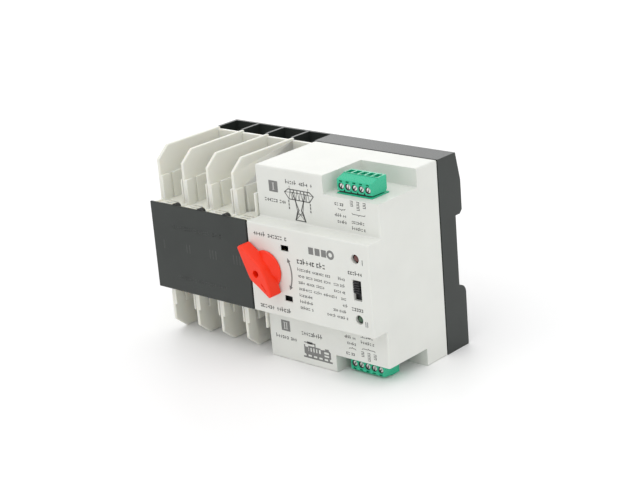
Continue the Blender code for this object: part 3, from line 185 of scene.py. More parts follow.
LOOKS = {
    "housing": moulded("housing_plastic", (0.735, 0.745, 0.705), 0.34, soft=0.05, gloss=0.3),
    "pole": moulded("pole_plastic", (0.80, 0.80, 0.735), 0.38, soft=0.30),
    "dark": moulded(
        "dark_plastic", (0.026, 0.031, 0.028), 0.34, grain=1400, bump=0.22, spread=0.12, gloss=0.38
    ),
    "black": moulded("black_plastic", (0.012, 0.012, 0.013), 0.45, bump=0.15, spread=0.08),
    "red": moulded("red_plastic", (0.93, 0.034, 0.006), 0.33, soft=0.04, bump=0.05, gloss=0.4),
    "green": moulded("green_plastic", (0.022, 0.50, 0.285), 0.30, soft=0.05, bump=0.04),
    "ink": moulded("grey_ink", (0.105, 0.107, 0.102), 0.6, spread=0.12, bump=0.03),
    "soft_ink": moulded("soft_grey_ink", (0.19, 0.192, 0.186), 0.6, spread=0.10, bump=0.03),
    "tone": moulded("tone_ink", (0.046, 0.051, 0.047), 0.55, spread=0.05, bump=0.03),
    "pale_ink": moulded("pale_ink", (0.62, 0.62, 0.60), 0.6, spread=0.05, bump=0.03),
    "steel": moulded(
        "plated_steel", (0.76, 0.76, 0.74), 0.30, grain=900, bump=0.05, spread=0.06, metal=1.0
    ),
    "copper": moulded(
        "tinned_copper", (0.80, 0.44, 0.27), 0.30, grain=700, bump=0.06, spread=0.10, metal=1.0
    ),
    "silver": moulded(
        "silver_contact", (0.80, 0.80, 0.77), 0.28, grain=700, bump=0.05, spread=0.06, metal=1.0
    ),
    "brass": moulded(
        "gear_brass", (0.76, 0.56, 0.22), 0.30, grain=700, bump=0.06, spread=0.08, metal=1.0
    ),
    "board": moulded("circuit_board", (0.02, 0.16, 0.07), 0.45, grain=500, bump=0.08, spread=0.15),
    "red_lens": moulded("red_lens", (0.13, 0.030, 0.024), 0.16, spread=0.15, bump=0.02, coat=0.4),
    "green_lens": moulded("green_lens", (0.03, 0.085, 0.04), 0.16, spread=0.15, bump=0.02, coat=0.4),
}


# ---------------------------------------------------------------- shapes


def rounded(bm, radius, steps, pick=None):
    """Rounds a mesh's edges, or only those that pick() chooses from their two ends."""
    bmesh.ops.recalc_face_normals(bm, faces=bm.faces)
    if radius:
        edges = [e for e in bm.edges if pick is None or pick(e.verts[0].co, e.verts[1].co)]
        bmesh.ops.bevel(
            bm,
            geom=edges,
            offset=radius * MM,
            offset_type="OFFSET",
            segments=steps,
            profile=0.5,
            affect="EDGES",
            clamp_overlap=True,
        )
    return bm


def block(x, y, z, radius=0.0, steps=2, pick=None):
    """A box between two values on each axis, with its edges rounded."""
    low = at(min(x), min(y), min(z))
    high = at(max(x), max(y), max(z))
    bm = bmesh.new()
    size = Matrix.Diagonal((*(high - low), 1))
    bmesh.ops.create_cube(bm, size=1, matrix=Matrix.Translation((low + high) / 2) @ size)
    return rounded(bm, radius, steps, pick)


def prism(outline, span, axis="x", radius=0.0, steps=2, pick=None):
    """An outline extruded along an axis. Its points are (y, z) for axis x, and (x, z) for axis y."""
    placed = {
        "x": lambda a, b, c: at(c, a, b),
        "y": lambda a, b, c: at(a, c, b),
    }[axis]
    bm = bmesh.new()
    near = [bm.verts.new(placed(a, b, span[0])) for a, b in outline]
    far = [bm.verts.new(placed(a, b, span[1])) for a, b in outline]
    bm.faces.new(near)
    bm.faces.new(list(reversed(far)))
    for i in range(len(near)):
        j = (i + 1) % len(near)
        bm.faces.new([near[j], near[i], far[i], far[j]])
    return rounded(bm, radius, steps, pick)


def lathe(profile, centre, sides=40):
    """A profile of (radius, y) turned round a line along y through (x, z).

    The profile's ends lie on that line, or it comes back to its first point.
    """
    bm = bmesh.new()
    rings = []
    for radius, along in profile:
        ring = []
        for number in range(sides if radius > 0 else 1):
            turn = 2 * math.pi * number / sides
            across = centre[0] + radius * math.cos(turn)
            up = centre[1] + radius * math.sin(turn)
            ring.append(bm.verts.new(at(across, along, up)))
        rings.append(ring)
    for one, two in zip(rings, rings[1:]):
        for number in range(sides):
            follow = (number + 1) % sides
            if len(one) > 1 and len(two) > 1:
                bm.faces.new([one[number], two[number], two[follow], one[follow]])
            elif len(two) > 1:
                bm.faces.new([one[0], two[number], two[follow]])
            elif len(one) > 1:
                bm.faces.new([one[number], two[0], one[follow]])
    bmesh.ops.recalc_face_normals(bm, faces=bm.faces)
    return bm


def rod(x, z, radius, y, sides=24):
    """A plain cylinder along y."""
    return lathe([(0, y[0]), (radius, y[0]), (radius, y[1]), (0, y[1])], (x, z), sides)


def turned_bar(x, z, turn, half_long, half_wide):
    """The outline of a bar turned about its middle, for a screw's slot."""
    c = math.cos(turn)
    s = math.sin(turn)
    corners = (
        (-half_long, -half_wide),
        (half_long, -half_wide),
        (half_long, half_wide),
        (-half_long, half_wide),
    )
    return [(x + a * c - b * s, z + a * s + b * c) for a, b in corners]


def joined(*parts):
    """Several separate shapes as one mesh."""
    total = bmesh.new()
    for bm in parts:
        mesh = bpy.data.meshes.new("part")
        bm.to_mesh(mesh)
        bm.free()
        total.from_mesh(mesh)
        bpy.data.meshes.remove(mesh)
    return total


def loose(bm):
    """A helper object for a Boolean."""
    mesh = bpy.data.meshes.new("shape")
    bm.to_mesh(mesh)
    bm.free()
    obj = bpy.data.objects.new("shape", mesh)
    bpy.context.scene.collection.objects.link(obj)
    return obj


def carve(bm, add=(), cut=()):
    """A mesh with shapes joined to it and cut from it."""
    obj = loose(bm)
    helpers = []
    for operation, shapes in (("UNION", add), ("DIFFERENCE", cut)):
        for shape in shapes:
            helper = loose(shape)
            helpers.append(helper)
            modifier = obj.modifiers.new("shape", "BOOLEAN")
            modifier.operation = operation
            modifier.solver = "EXACT"
            modifier.object = helper
    bpy.context.view_layer.update()
    graph = bpy.context.evaluated_depsgraph_get()
    result = bpy.data.meshes.new_from_object(obj.evaluated_get(graph))
    for helper in [*helpers, obj]:
        bpy.data.objects.remove(helper)
    bm = bmesh.new()
    bm.from_mesh(result)
    bpy.data.meshes.remove(result)
    return bm


def show(name, bm, look, body=BODY, stands_for=(), sharp=38.0):
    """One piece of the object, smooth up to an angle in degrees, riding a body."""
    mesh = bpy.data.meshes.new(name)
    bmesh.ops.remove_doubles(bm, verts=bm.verts, dist=1e-7)
    for face in bm.faces:
        face.smooth = True
    bm.to_mesh(mesh)
    bm.free()
    mesh.materials.append(LOOKS[look])
    for polygon in mesh.polygons:
        polygon.material_index = 0
    mesh.set_sharp_from_angle(angle=math.radians(sharp))
    obj = bpy.data.objects.new(name, mesh)
    bpy.context.scene.collection.objects.link(obj)
    modifier = obj.modifiers.new("normals", "WEIGHTED_NORMAL")
    modifier.keep_sharp = True
    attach(obj, body)
    if stands_for:
        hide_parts(*stands_for)
    return obj


def flip(side, low, high):
    """A span of heights measured in from the top for side 1, or from the bottom for side -1."""
    return (HEIGHT - high, HEIGHT - low) if side > 0 else (low, high)


def end_in(distance, side):
    """A height measured in from the top for side 1, or from the bottom for side -1."""
    return HEIGHT - distance if side > 0 else distance


# ---------------------------------------------------------------- poles


def pole(index):
    """One pole: its barrier at the left, the nose, the walls and vents, and its two source terminals."""
    left = POLE_LEFT + PITCH * index
    right = (CONTROL_LEFT if index == POLES - 1 else left + PITCH) - CLEARANCE
    middle = left + POLE_MIDDLE
    back = HOUSING_BACK
    front = 10.2
    slant_deep = 9.1
    slant_high = 7.6
    foot = 0.3
    outline = [
        (2.1, 35.8),
        (2.1, 91.0),
        (front, 91.0),
        (front, HEIGHT - slant_high),
        (front + slant_deep, HEIGHT),
        (back, HEIGHT),
        (back, foot),
        (front + slant_deep, foot),
        (front, foot + slant_high),
        (front, 35.8),
    ]
    fin = prism(outline, (left, left + 2.3), "x", 0.75, 3)
    wide = (left + 0.05, right)
    inside = (left + 2.0, right - 0.6)
    low_side = 18.3
    panel = (low_side, HEIGHT - low_side)
    nose = block(wide, (2.1, back), (36.8, 90.0), 0.35)
    right_wall = block((right - 1.3, right), (front, back), panel, 0.45)
    front_rib = block((left + 1.6, left + 3.9), (front + 0.2, front + 6.6), panel, 0.4)
    raised_panel = block((left + 1.6, left + 3.7), (front + 9.3, back), panel, 0.45)
    lower_back = block(wide, (back - 3.7, back), (0.35, 38.0), 0.2, 1)
    upper_back = block(wide, (back - 2.4, back), (88.0, HEIGHT - 1.4), 0.35)
    pin = rod(middle + 3.4, 34.6, 0.75, (4.5, 40.0), 16)
    lower_step = block(inside, (30.0, back - 1.0), (31.0, 38.0), 0.4)
    upper_step = block(inside, (30.0, back - 1.0), (88.8, 95.8), 0.4)
    add = [
        nose,
        right_wall,
        front_rib,
        raised_panel,
        lower_back,
        upper_back,
        pin,
        lower_step,
        upper_step,
    ]
    cut = []
    vents = 3
    for side in (1, -1):
        roof = (NOSE_MID + side * 20.6, NOSE_MID + side * 27.6)
        for row in range(vents):
            start = 5.0 + 3.2 * row
            cut.append(block((middle - 4.4, middle + 4.4), (start, start + 1.4), roof, 0.15, 1))
        seat = (NOSE_MID + side * 24.6, NOSE_MID + side * 34.0)
        cut.append(block((middle - 7.1, middle + 7.1), (41.9, 46.6), seat))
    hollow = block((left + 4.5, right - 2.5), (6.0, back + 1), (40.5, 86.3))
    cut.append(hollow)
    bm = carve(fin, add, cut)
    show(f"pole_housing_{index + 1}_moulding", bm, "pole", stands_for=[f"pole_housing_{index + 1}"])
    for letter, side in (("a", 1), ("b", -1)):
        terminal(letter, index, middle, side)


def terminal(letter, index, middle, side):
    """The clamp plate between two barriers, with its combination-head screw and washer."""
    y = (42.4, 45.0)
    z = (NOSE_MID + side * 27.6, NOSE_MID + side * 49.4)
    screw_z = NOSE_MID + side * SCREW_OUT
    plate = block((middle - 6.5, middle + 6.5), y, z, 0.35, 2)
    riser_z = (NOSE_MID + side * 8.6, NOSE_MID + side * 29.0)
    riser = block((middle - 3.0, middle + 3.0), y, riser_z, 0.2, 1)
    hole = rod(middle, screw_z, 3.2, (40.0, 47.0), 32)
    bm = carve(plate, [riser], [hole])
    show(f"source_{letter}_plate_{index + 1}", bm, "copper")
    head_back = 42.1
    profile = [
        (0, head_back - 3.6),
        (4.2, head_back - 3.6),
        (4.75, head_back - 3.25),
        (5.0, head_back - 2.7),
        (5.0, head_back - 0.2),
        (4.8, head_back),
        (2.9, head_back),
        (2.9, 49.6),
        (2.5, 50.0),
        (0, 50.0),
    ]
    head = lathe(profile, (middle, screw_z))
    turn = math.radians(20 + 37 * index + (15 if side > 0 else 0))
    cuts = []
    for quarter in (0, math.pi / 2):
        outline = turned_bar(middle, screw_z, turn + quarter, 3.1, 0.55)
        cuts.append(prism(outline, (head_back - 5, head_back - 2.0), "y"))
    bm = carve(head, cut=cuts)
    name = f"source_{letter}_screw_{index + 1}"
    show(f"{name}_combination_head", bm, "steel", stands_for=[name])


def cover():
    """The satin plate over the poles, with half-round tabs and tone-on-tone marks."""
    gap = 0.7
    right = CONTROL_LEFT - gap
    left = CLEARANCE + gap
    plate = block((left, right), (0, 1.8), (NOSE_LOW, NOSE_HIGH), 0.5, 3)
    tabs = []
    for index in range(1, POLES):
        seam = POLE_LEFT + PITCH * index + 0.575
        turns = [math.pi * step / 14 for step in range(15)]
        outline = [(seam + 2.6 * math.cos(t), 91.3 + 2.1 * math.sin(t)) for t in turns]
        tabs.append(prism(outline, (0.6, 4.2), "y"))
    lip = block((left + 0.5, right - 0.5), (1.2, 2.0), (NOSE_LOW + 0.6, NOSE_HIGH - 0.6))
    bm = carve(plate, [lip])
    show("front_cover_plate", bm, "dark", stands_for=["front_cover"])
    show("front_cover_tabs", joined(*tabs), "black")
    marks = []
    z = NOSE_MID + 1.5
    for index in range(POLES):
        middle = POLE_LEFT + PITCH * index + 10.0
        for number in range(index + 1):
            x = middle - 1.3 * index + 2.6 * number
            marks.append(block((x - 0.55, x + 0.55), (-0.06, 0.3), (z - 3.0, z + 3.0), 0.05, 1))
    marks += greeked(20.0, 66.0, 78.5, 3.0, seed=4)
    marks += greeked(20.0, 66.0, 44.5, 3.0, seed=9)
    show("cover_marks", joined(*marks), "tone")


# ---------------------------------------------------------------- prints


def raised(y):
    """The depths of a print on a face at depth y."""
    return (y - PRINT_OUT, y + PRINT_IN)


def greeked(x0, x1, z, high, seed, y=0.0, gap=1.6, group=(3, 7)):
    """A row of print that stands for words: groups of abstract strokes that spell nothing."""
    pick = random.Random(seed)
    parts = []
    x = x0
    stroke = high * 0.19
    step = high * 0.66
    wide = step * 0.72
    base = z - high / 2
    waist = z + high * 0.22
    crown = z + high / 2
    middle = (base + waist) / 2

    def bar(a, b, low, top):
        parts.append(block((a, b), raised(y), (low, top)))

    while x < x1 - step:
        for _ in range(pick.randint(*group)):
            if x + step > x1:
                break
            # Kinds 0 to 3 have a stem, at the left or the right. The bars cross it or stand alone.
            kind = pick.randint(0, 5)
            stem = {0: x, 1: x + wide - stroke, 2: x, 3: x + wide - stroke}.get(kind)
            if stem is not None:
                bar(stem, stem + stroke, base, crown if kind == 2 else waist)
            if kind in (0, 1, 4):
                bar(x, x + wide, base, base + stroke)
                bar(x, x + wide, waist - stroke, waist)
            if kind in (2, 3, 5):
                bar(x, x + wide, middle - stroke / 2, middle + stroke / 2)
            if kind == 5:
                bar(x + wide * 0.3, x + wide * 0.7, base, base + stroke)
                bar(x + wide * 0.3, x + wide * 0.7, waist - stroke, waist)
            x += step
        x += gap
    return parts


def line(points, width, y):
    """A drawn stroke through points of a face at depth y."""
    parts = []
    for (x0, z0), (x1, z1) in zip(points, points[1:]):
        run = Vector((x1 - x0, z1 - z0))
        along = run.normalized() * width * 0.35
        side = Vector((-along.y, along.x)).normalized() * width / 2
        a = Vector((x0, z0)) - along
        b = Vector((x1, z1)) + along
        outline = [tuple(a - side), tuple(b - side), tuple(b + side), tuple(a + side)]
        parts.append(prism(outline, raised(y), "y"))
    return parts


def source_badge(name, x, z, bars, y):
    """A filled square with one or two pale upright bars on it."""
    square = block((x - 3.6, x + 3.6), raised(y), (z - 3.5, z + 3.5))
    depth = (y - 0.10, y + 0.1)
    strokes = []
    for number in range(bars):
        middle = x + (number - (bars - 1) / 2) * 1.9
        strokes.append(block((middle - 0.35, middle + 0.35), depth, (z - 2.1, z + 2.1)))
        for end in (-2.1, 2.1):
            strokes.append(block((middle - 0.8, middle + 0.8), depth, (z + end - 0.2, z + end + 0.2)))
    show(name, square, "soft_ink")
    show(f"{name}_bars", joined(*strokes), "pale_ink")


def tower(x, z, y):
    """A lattice mast with a wide crossarm."""
    parts = []

    def run(points, width=FINE):
        parts.extend(line([(x + a, z + b) for a, b in points], width, y))

    top = [(-11.5, 6.2), (-8.5, 8.4), (8.5, 8.4), (11.5, 6.2)]
    run([*top, (8.2, 2.2), (-8.2, 2.2), (-11.5, 6.2)], 0.6)
    run([(-11.5, 6.2), (-5.6, 6.6), (5.6, 6.6), (11.5, 6.2)])
    for number in range(6):
        a = -8.2 + 16.4 * number / 6
        b = a + 16.4 / 12
        run([(a, 2.2), (b, 8.4), (a + 16.4 / 6, 2.2)])
    for sign in (-1, 1):
        run([(sign * 5.2, 6.6), (sign * 1.0, -4.0), (sign * 4.0, -10.5)], 0.75)
        run([(sign * 3.4, 2.2), (sign * 2.2, -4.6), (sign * 4.0, -10.5)], 0.5)
        run([(sign * 7.4, 8.4), (sign * 7.4, 10.4)])
        for number in range(3):
            run([(sign * 8.6, 1.2 - 2.1 * number), (sign * 8.6, 0.2 - 2.1 * number)], 0.8)
    run([(-2.2, -4.6), (4.0, -10.5)])
    run([(2.2, -4.6), (-4.0, -10.5)])
    run([(-4.0, -10.5), (4.0, -10.5)], 0.6)
    run([(-2.8, -6.6), (2.8, -6.6)])
    show("mast_pictogram", joined(*parts), "ink")


def generator(x, z, y):
    """A generating set: engine block with bars, alternator, exhaust and skid."""
    parts = []

    def bar(x0, x1, z0, z1):
        parts.append(block((x + x0, x + x1), raised(y), (z + z0, z + z1)))

    bar(-10.5, -1.5, 4.6, 5.3)
    bar(-8.0, -3.6, 4.2, 5.8)
    bar(-2.2, -1.3, 2.8, 5.3)
    bar(-10.8, -9.9, -2.5, 3.4)
    bar(-9.9, -7.4, -2.9, 2.0)
    bar(-7.4, 2.6, 2.0, 3.0)
    for number in range(4):
        bar(-7.0 + 2.3 * number, -5.7 + 2.3 * number, -0.6, 2.2)
    bar(-7.4, 2.6, -2.9, -0.6)
    bar(2.6, 4.6, -2.9, 2.4)
    bar(4.6, 10.2, 1.6, 2.6)
    bar(4.6, 5.5, -2.9, 1.8)
    bar(9.3, 10.8, -2.6, 1.9)
    bar(5.5, 9.3, -2.9, -1.7)
    bar(5.5, 9.3, -0.6, 0.2)
    bar(6.4, 9.4, 2.6, 3.6)
    bar(-11.6, 11.8, -5.2, -4.1)
    for number in range(5):
        start = -9.4 + 4.4 * number
        bar(start, start + 1.6, -4.2, -2.8)
    show("generator_pictogram", joined(*parts), "soft_ink")


def bracket(x0, x1, z, side, y):
    """A brace over a group of ways, in two halves that meet at its tip."""
    middle = (x0 + x1) / 2
    end = z + side * 0.6
    tip = z - side * 0.6
    left = [(x0, end), (x0 + 0.6, z), (middle - 0.5, z), (middle, tip)]
    right = [(middle, tip), (middle + 0.5, z), (x1 - 0.6, z), (x1, end)]
    return line(left, FINE, y) + line(right, FINE, y)


def upright(x, z0, z1, y):
    """A word set on its side, as a column of abstract marks."""
    parts = []
    z = z1
    left = x - 0.9
    right = x + 0.9
    while z > z0 + 1.2:
        parts += line([(left, z), (right, z)], FINE, y)
        parts += line([(right, z), (right, z - 1.1)], FINE, y)
        parts += line([(left, z - 1.1), (right, z - 1.1)], FINE, y)
        z -= 1.9
    return parts


def prints():
    """Everything printed on the deck and the nose of the control housing."""
    source_badge("source_i_badge", 100.3, 113.0, 1, DECK)
    source_badge("source_ii_badge", 100.1, 22.6, 2, DECK)
    tower(120.8, 104.6, DECK)
    generator(125.1, 9.9, DECK)
    deck = []
    deck += greeked(92.5, 111.0, 104.4, 2.7, 11, DECK, 1.5, (6, 6))
    deck += greeked(110.6, 132.6, 117.6, 2.7, 12, DECK, 1.9, (4, 5))
    deck += greeked(91.4, 109.4, 14.9, 2.7, 13, DECK, 1.5, (6, 6))
    deck += greeked(113.2, 134.6, 20.9, 2.9, 14, DECK, 3.0, (9, 9))
    # The heights of four rows beside each plug: short words, brace, and two longer rows.
    for side, rows in ((1, (109.6, 106.3, 102.6, 98.8)), (-1, (15.3, 18.8, 25.9, 22.0))):
        deck += greeked(148.8, 157.9, rows[0], 2.3, 15, DECK, 0.8, (2, 2))
        deck += bracket(151.2, 156.6, rows[1], side, DECK)
        deck += greeked(148.2, 159.2, rows[2], 2.1, 17, DECK, 0.8, (2, 4))
        deck += greeked(150.2, 157.4, rows[3], 2.1, 18, DECK, 0.8, (5, 5))
        deck += greeked(161.0, 171.8, rows[2] - side * 2.6, 2.1, 19, DECK, 0.8, (7, 7))
        deck += greeked(161.0, 171.8, rows[3] - side * 2.6, 2.1, 20, DECK, 0.8, (6, 6))
        deck += bracket(161.6, 171.6, rows[1] - side * 1.6, side, DECK)
        for x, z0, z1 in ((161.7, 0.0, 4.0), (166.5, -2.4, 4.0), (171.3, 0.0, 4.0)):
            deck += upright(x, rows[0] + z0 - 1.4, rows[0] + z1 - 1.0, DECK)
    show("deck_print", joined(*deck), "ink")
    nose = []
    nose += greeked(91.6, 119.6, 86.0, 3.0, 21, 0.0, 1.8, (5, 6))
    nose += greeked(91.9, 119.5, 39.4, 3.0, 22, 0.0, 1.8, (6, 7))
    nose += greeked(165.4, 177.2, 73.6, 2.7, 23, 0.0, 1.0, (8, 8))
    nose += greeked(166.4, 175.8, 51.2, 2.7, 24, 0.0, 1.0, (6, 6))
    nose += greeked(125.6, 149.8, 73.6, 3.6, 25, 0.0, 1.2, (5, 6))
    # Each row's height, where its left group ends and where its right group starts.
    rows = (
        (68.2, 151.6, 157.4),
        (64.1, 151.7, 153.6),
        (60.0, 146.5, 153.6),
        (55.9, 155.8, 158.6),
        (51.8, 136.3, 159.4),
        (47.8, 137.6, 151.8),
        (43.9, 136.6, 146.8),
    )
    for number, (z, end, value) in enumerate(rows):
        nose += greeked(125.5, end, z, 2.0, 30 + number, 0.0, 1.1, (4, 8))
        nose += greeked(value, 163.6, z, 2.0, 50 + number, 0.0, 0.9, (3, 5))
    nose += lamp_mark(176.9, 80.9, 1)
    nose += lamp_mark(176.9, 42.8, 2)
    show("panel_print", joined(*nose), "ink")
    front, back = raised(0.0)
    emblem = [block((135.6 + 5.0 * n, 139.4 + 5.0 * n), (front, back), (79.4, 83.8)) for n in range(3)]
    band = [(1.4, front), (2.9, front), (2.9, back), (1.4, back), (1.4, front)]
    ring = lathe(band, (152.6, 81.6), 36)
    show("plain_emblem", joined(*emblem, ring), "soft_ink")
    arrows()


def lamp_mark(x, z, bars):
    """One or two small upright bars beside a lamp."""
    parts = []
    for number in range(bars):
        middle = x + (number - (bars - 1) / 2) * 1.3
        parts += line([(middle, z - 1.5), (middle, z + 1.5)], 0.45, 0.0)
    return parts


def arrows():
    """The curved double arrow right of the handle."""
    radius = 20.6
    turns = [math.radians(23.5 - 46.0 * step / 22) for step in range(23)]

    def on_arc(reach, t):
        return (HANDLE_X + reach * math.cos(t), NOSE_MID + reach * math.sin(t))

    outer = [on_arc(radius + 0.5, t) for t in turns]
    inner = [on_arc(radius - 0.5, t) for t in turns]
    parts = [prism(outer + inner[::-1], raised(0.0), "y")]
    for sign, end in ((1, 22.5), (-1, -21.5)):
        t = math.radians(end)
        base = Vector(on_arc(radius, t))
        out = Vector((math.cos(t), math.sin(t)))
        ahead = Vector((-math.sin(t), math.cos(t))) * sign
        tip = [tuple(base + out * 1.5), tuple(base + ahead * 2.7), tuple(base - out * 1.5)]
        parts.append(prism(tip, raised(0.0), "y"))
    show("turn_arrow", joined(*parts), "soft_ink")


# ---------------------------------------------------------------- control housing and base


def control_housing():
    """The light block at the right, with its recesses, windows, lamp wells and switch slot."""
    back = HOUSING_BACK
    outline = [
        (DECK, 0),
        (DECK, NOSE_LOW),
        (0, NOSE_LOW),
        (0, NOSE_HIGH),
        (DECK, NOSE_HIGH),
        (DECK, HEIGHT),
        (back, HEIGHT),
        (back, 0),
    ]
    shell = prism(outline, (CONTROL_LEFT, WIDTH), "x", 1.1, 4)
    inside = (CONTROL_LEFT + WALL, WIDTH - WALL)
    through = 3.2

    def not_slanted(a, b):
        return abs(a.z - b.z) < 1e-6 or abs(a.x - b.x) < 1e-6

    cut = [
        block(inside, (WALL, back - 2), (NOSE_LOW + WALL, NOSE_HIGH - WALL)),
        block((inside[0], 138.0), (13.9, back + 1), (WALL, HEIGHT - WALL)),
        block((137.0, inside[1]), (13.9, back + 1), (13.8, HEIGHT - 13.8)),
    ]
    well = [(0, -1), (3.4, -1), (3.15, 0.0), (2.8, 0.35), (2.8, through), (0, through)]
    for side in (1, -1):
        recess = flip(side, -4, 11.6)
        cut.append(block((140.2, WIDTH + 4), (DECK - 4, 47.7), recess, 0.7, 3, not_slanted))
        cut.append(block((145.4, 172.6), (17.7, 34.0), flip(side, 10.0, 14.4)))
        z = NOSE_MID + side * WINDOW_OUT
        cut.append(block((111.5, 121.0), (0.65, through), (z - 3.2, z + 3.2)))
        cut.append(funnel((113.0, 119.1), (z - 1.65, z + 1.65), (1.2, 0.3, 0.3, 0.4), 0.75))
        cut.append(lathe(well, (LAMP_X, NOSE_MID + side * LAMP_OUT), 48))
    slot_x = (SLOT_X - 3, SLOT_X + 3)
    slot_z = (SLOT_MID - SLOT_HALF, SLOT_MID + SLOT_HALF)
    cut.append(block(slot_x, (-1, through), slot_z))
    cut.append(funnel(slot_x, slot_z, (0.3, 0.3, 0.3, 0.3), 0.3))
    cut.append(rod(HANDLE_X, NOSE_MID, 4.6, (-1, through), 40))
    bm = carve(shell, cut=cut)
    show("control_housing_moulding", bm, "housing", stands_for=["control_housing"])


def funnel(x, z, out, deep):
    """A tapered cutter for an opening in the front face, widened by out at the face.

    The four values of out are for the left, the right, below and above. It starts just outside the face.
    """
    bm = bmesh.new()
    left, right, below, above = out
    start = -0.021
    wide = (
        (x[0] - left, z[0] - below),
        (x[1] + right, z[0] - below),
        (x[1] + right, z[1] + above),
        (x[0] - left, z[1] + above),
    )
    narrow = ((x[0], z[0]), (x[1], z[0]), (x[1], z[1]), (x[0], z[1]))
    near = [bm.verts.new(at(a, start, b)) for a, b in wide]
    far = [bm.verts.new(at(a, deep, b)) for a, b in narrow]
    bm.faces.new(near)
    bm.faces.new(far[::-1])
    for i in range(4):
        j = (i + 1) % 4
        bm.faces.new([near[j], near[i], far[i], far[j]])
    bmesh.ops.recalc_face_normals(bm, faces=bm.faces)
    return bm


def rear_base():
    """The dark back: side profile with the rail channel, four pockets, lugs and screw holes."""
    turns = [math.pi / 2 * step / 8 for step in range(9)]
    round_off = 6
    corner = [
        (DEPTH - round_off + round_off * math.sin(t), 34.6 + round_off * math.cos(t)) for t in turns
    ]
    outline = [
        (PARTING, 0),
        (PARTING, HEIGHT),
        (85.6, HEIGHT),
        (DEPTH, 107.0),
        (DEPTH, 88.2),
        (DEPTH - 2.3, 85.9),
        (CHANNEL, 85.9),
        (CHANNEL, 40.6),
        *corner,
        (DEPTH, 0),
    ]
    left_face = at(0, 0, 0).x + 1e-6
    right_face = at(WIDTH, 0, 0).x - 1e-6

    def outer(a, b):
        at_left = a.x < left_face and b.x < left_face
        at_right = a.x > right_face and b.x > right_face
        return at_left or at_right or abs(a.x - b.x) > 0.1

    shell = prism(outline, (0, WIDTH), "x", 0.6, 3, outer)
    front = PARTING - 1
    behind = 91
    cut = [
        block((2.0, 85.0), (front, 80.5), (20, 88)),
        block((88.0, 166.0), (front, 80.5), (3, 122)),
    ]
    pocket = [
        (front, HEIGHT + 1),
        (POCKET_BACK, HEIGHT + 1),
        (POCKET_BACK, 118.0),
        (72.2, 96.0),
        (front, 96.0),
    ]
    for index in range(POLES):
        left = POLE_LEFT + PITCH * index + (2 if index == 0 else 1)
        right = min(POLE_LEFT + PITCH * (index + 1) - 1, CONTROL_LEFT - 1)
        cut.append(prism(pocket, (left, right), "x"))
    cut.append(block((88.7, 111.3), (84.1, behind), (-1, 41.6)))
    places = [(POLE_LEFT + PITCH * index + POLE_MIDDLE, 14.0) for index in range(POLES)]
    places += [(170.0, 14.0), (170.0, 92.0)]
    sink = [(0, 86.4), (3.3, 86.4), (3.3, 89.0), (3.9, 89.6), (3.9, behind), (0, behind)]
    for place in places:
        cut.append(lathe(sink, place, 32))
    for number in range(5):
        x = 121.0 + 8.0 * number
        cut.append(block((x, x + 4.0), (88.4, behind), (9.0, 28.0), 0.3, 2))
    add = [block((x - 9, x + 9), (84.4, 88.9), (78.9, 87.5), 0.3, 2) for x in (45.0, 137.0)]
    bm = carve(shell, add, cut)
    show("rear_base_moulding", bm, "dark", stands_for=["rear_base"])
    for number, (x, z) in enumerate(places):
        base_screw(f"base_screw_{number + 1}", x, z)
    rail_clip()


def base_screw(name, x, z):
    """A cross-head screw seen from behind."""
    profile = [(0, 86.7), (2.9, 86.7), (3.0, 87.0), (3.0, 88.3), (2.6, 88.8), (0, 88.8)]
    depth = (87.7, 90)
    slots = [
        block((x - 2.2, x + 2.2), depth, (z - 0.4, z + 0.4)),
        block((x - 0.4, x + 0.4), depth, (z - 2.2, z + 2.2)),
    ]
    bm = carve(lathe(profile, (x, z), 32), [rod(x, z, 1.7, (61, 87.0))], slots)
    show(f"{name}_cross_head", bm, "steel", stands_for=[name])


def rail_clip():
    """The sprung slide that holds the rail, with finger ribs and a slot for a screwdriver."""
    outline = [(84.4, 1.0), (84.4, 53.2), (85.6, 53.2), (88.9, 48.2), (88.9, 1.0)]
    clip = prism(outline, (89.0, 111.0), "x", 0.35, 2)
    cuts = [block((96.0, 104.0), (83.4, 90), (4.0, 6.5), 0.3, 2)]
    for number in range(6):
        z = 12.0 + 3.0 * number
        cuts.append(block((93.0, 107.0), (88.3, 90), (z, z + 1.4), 0.2, 1))
    show("rail_clip_slide", carve(clip, cut=cuts), "black", body="clip", stands_for=["rail_clip"])


# ---------------------------------------------------------------- handle, knob, lamps


def turned(along, across):
    """A point of the handle at rest, from its place along and across the grip."""
    c = math.cos(HANDLE_REST)
    s = math.sin(HANDLE_REST)
    return HANDLE_X + along * c - across * s, NOSE_MID + along * s + across * c


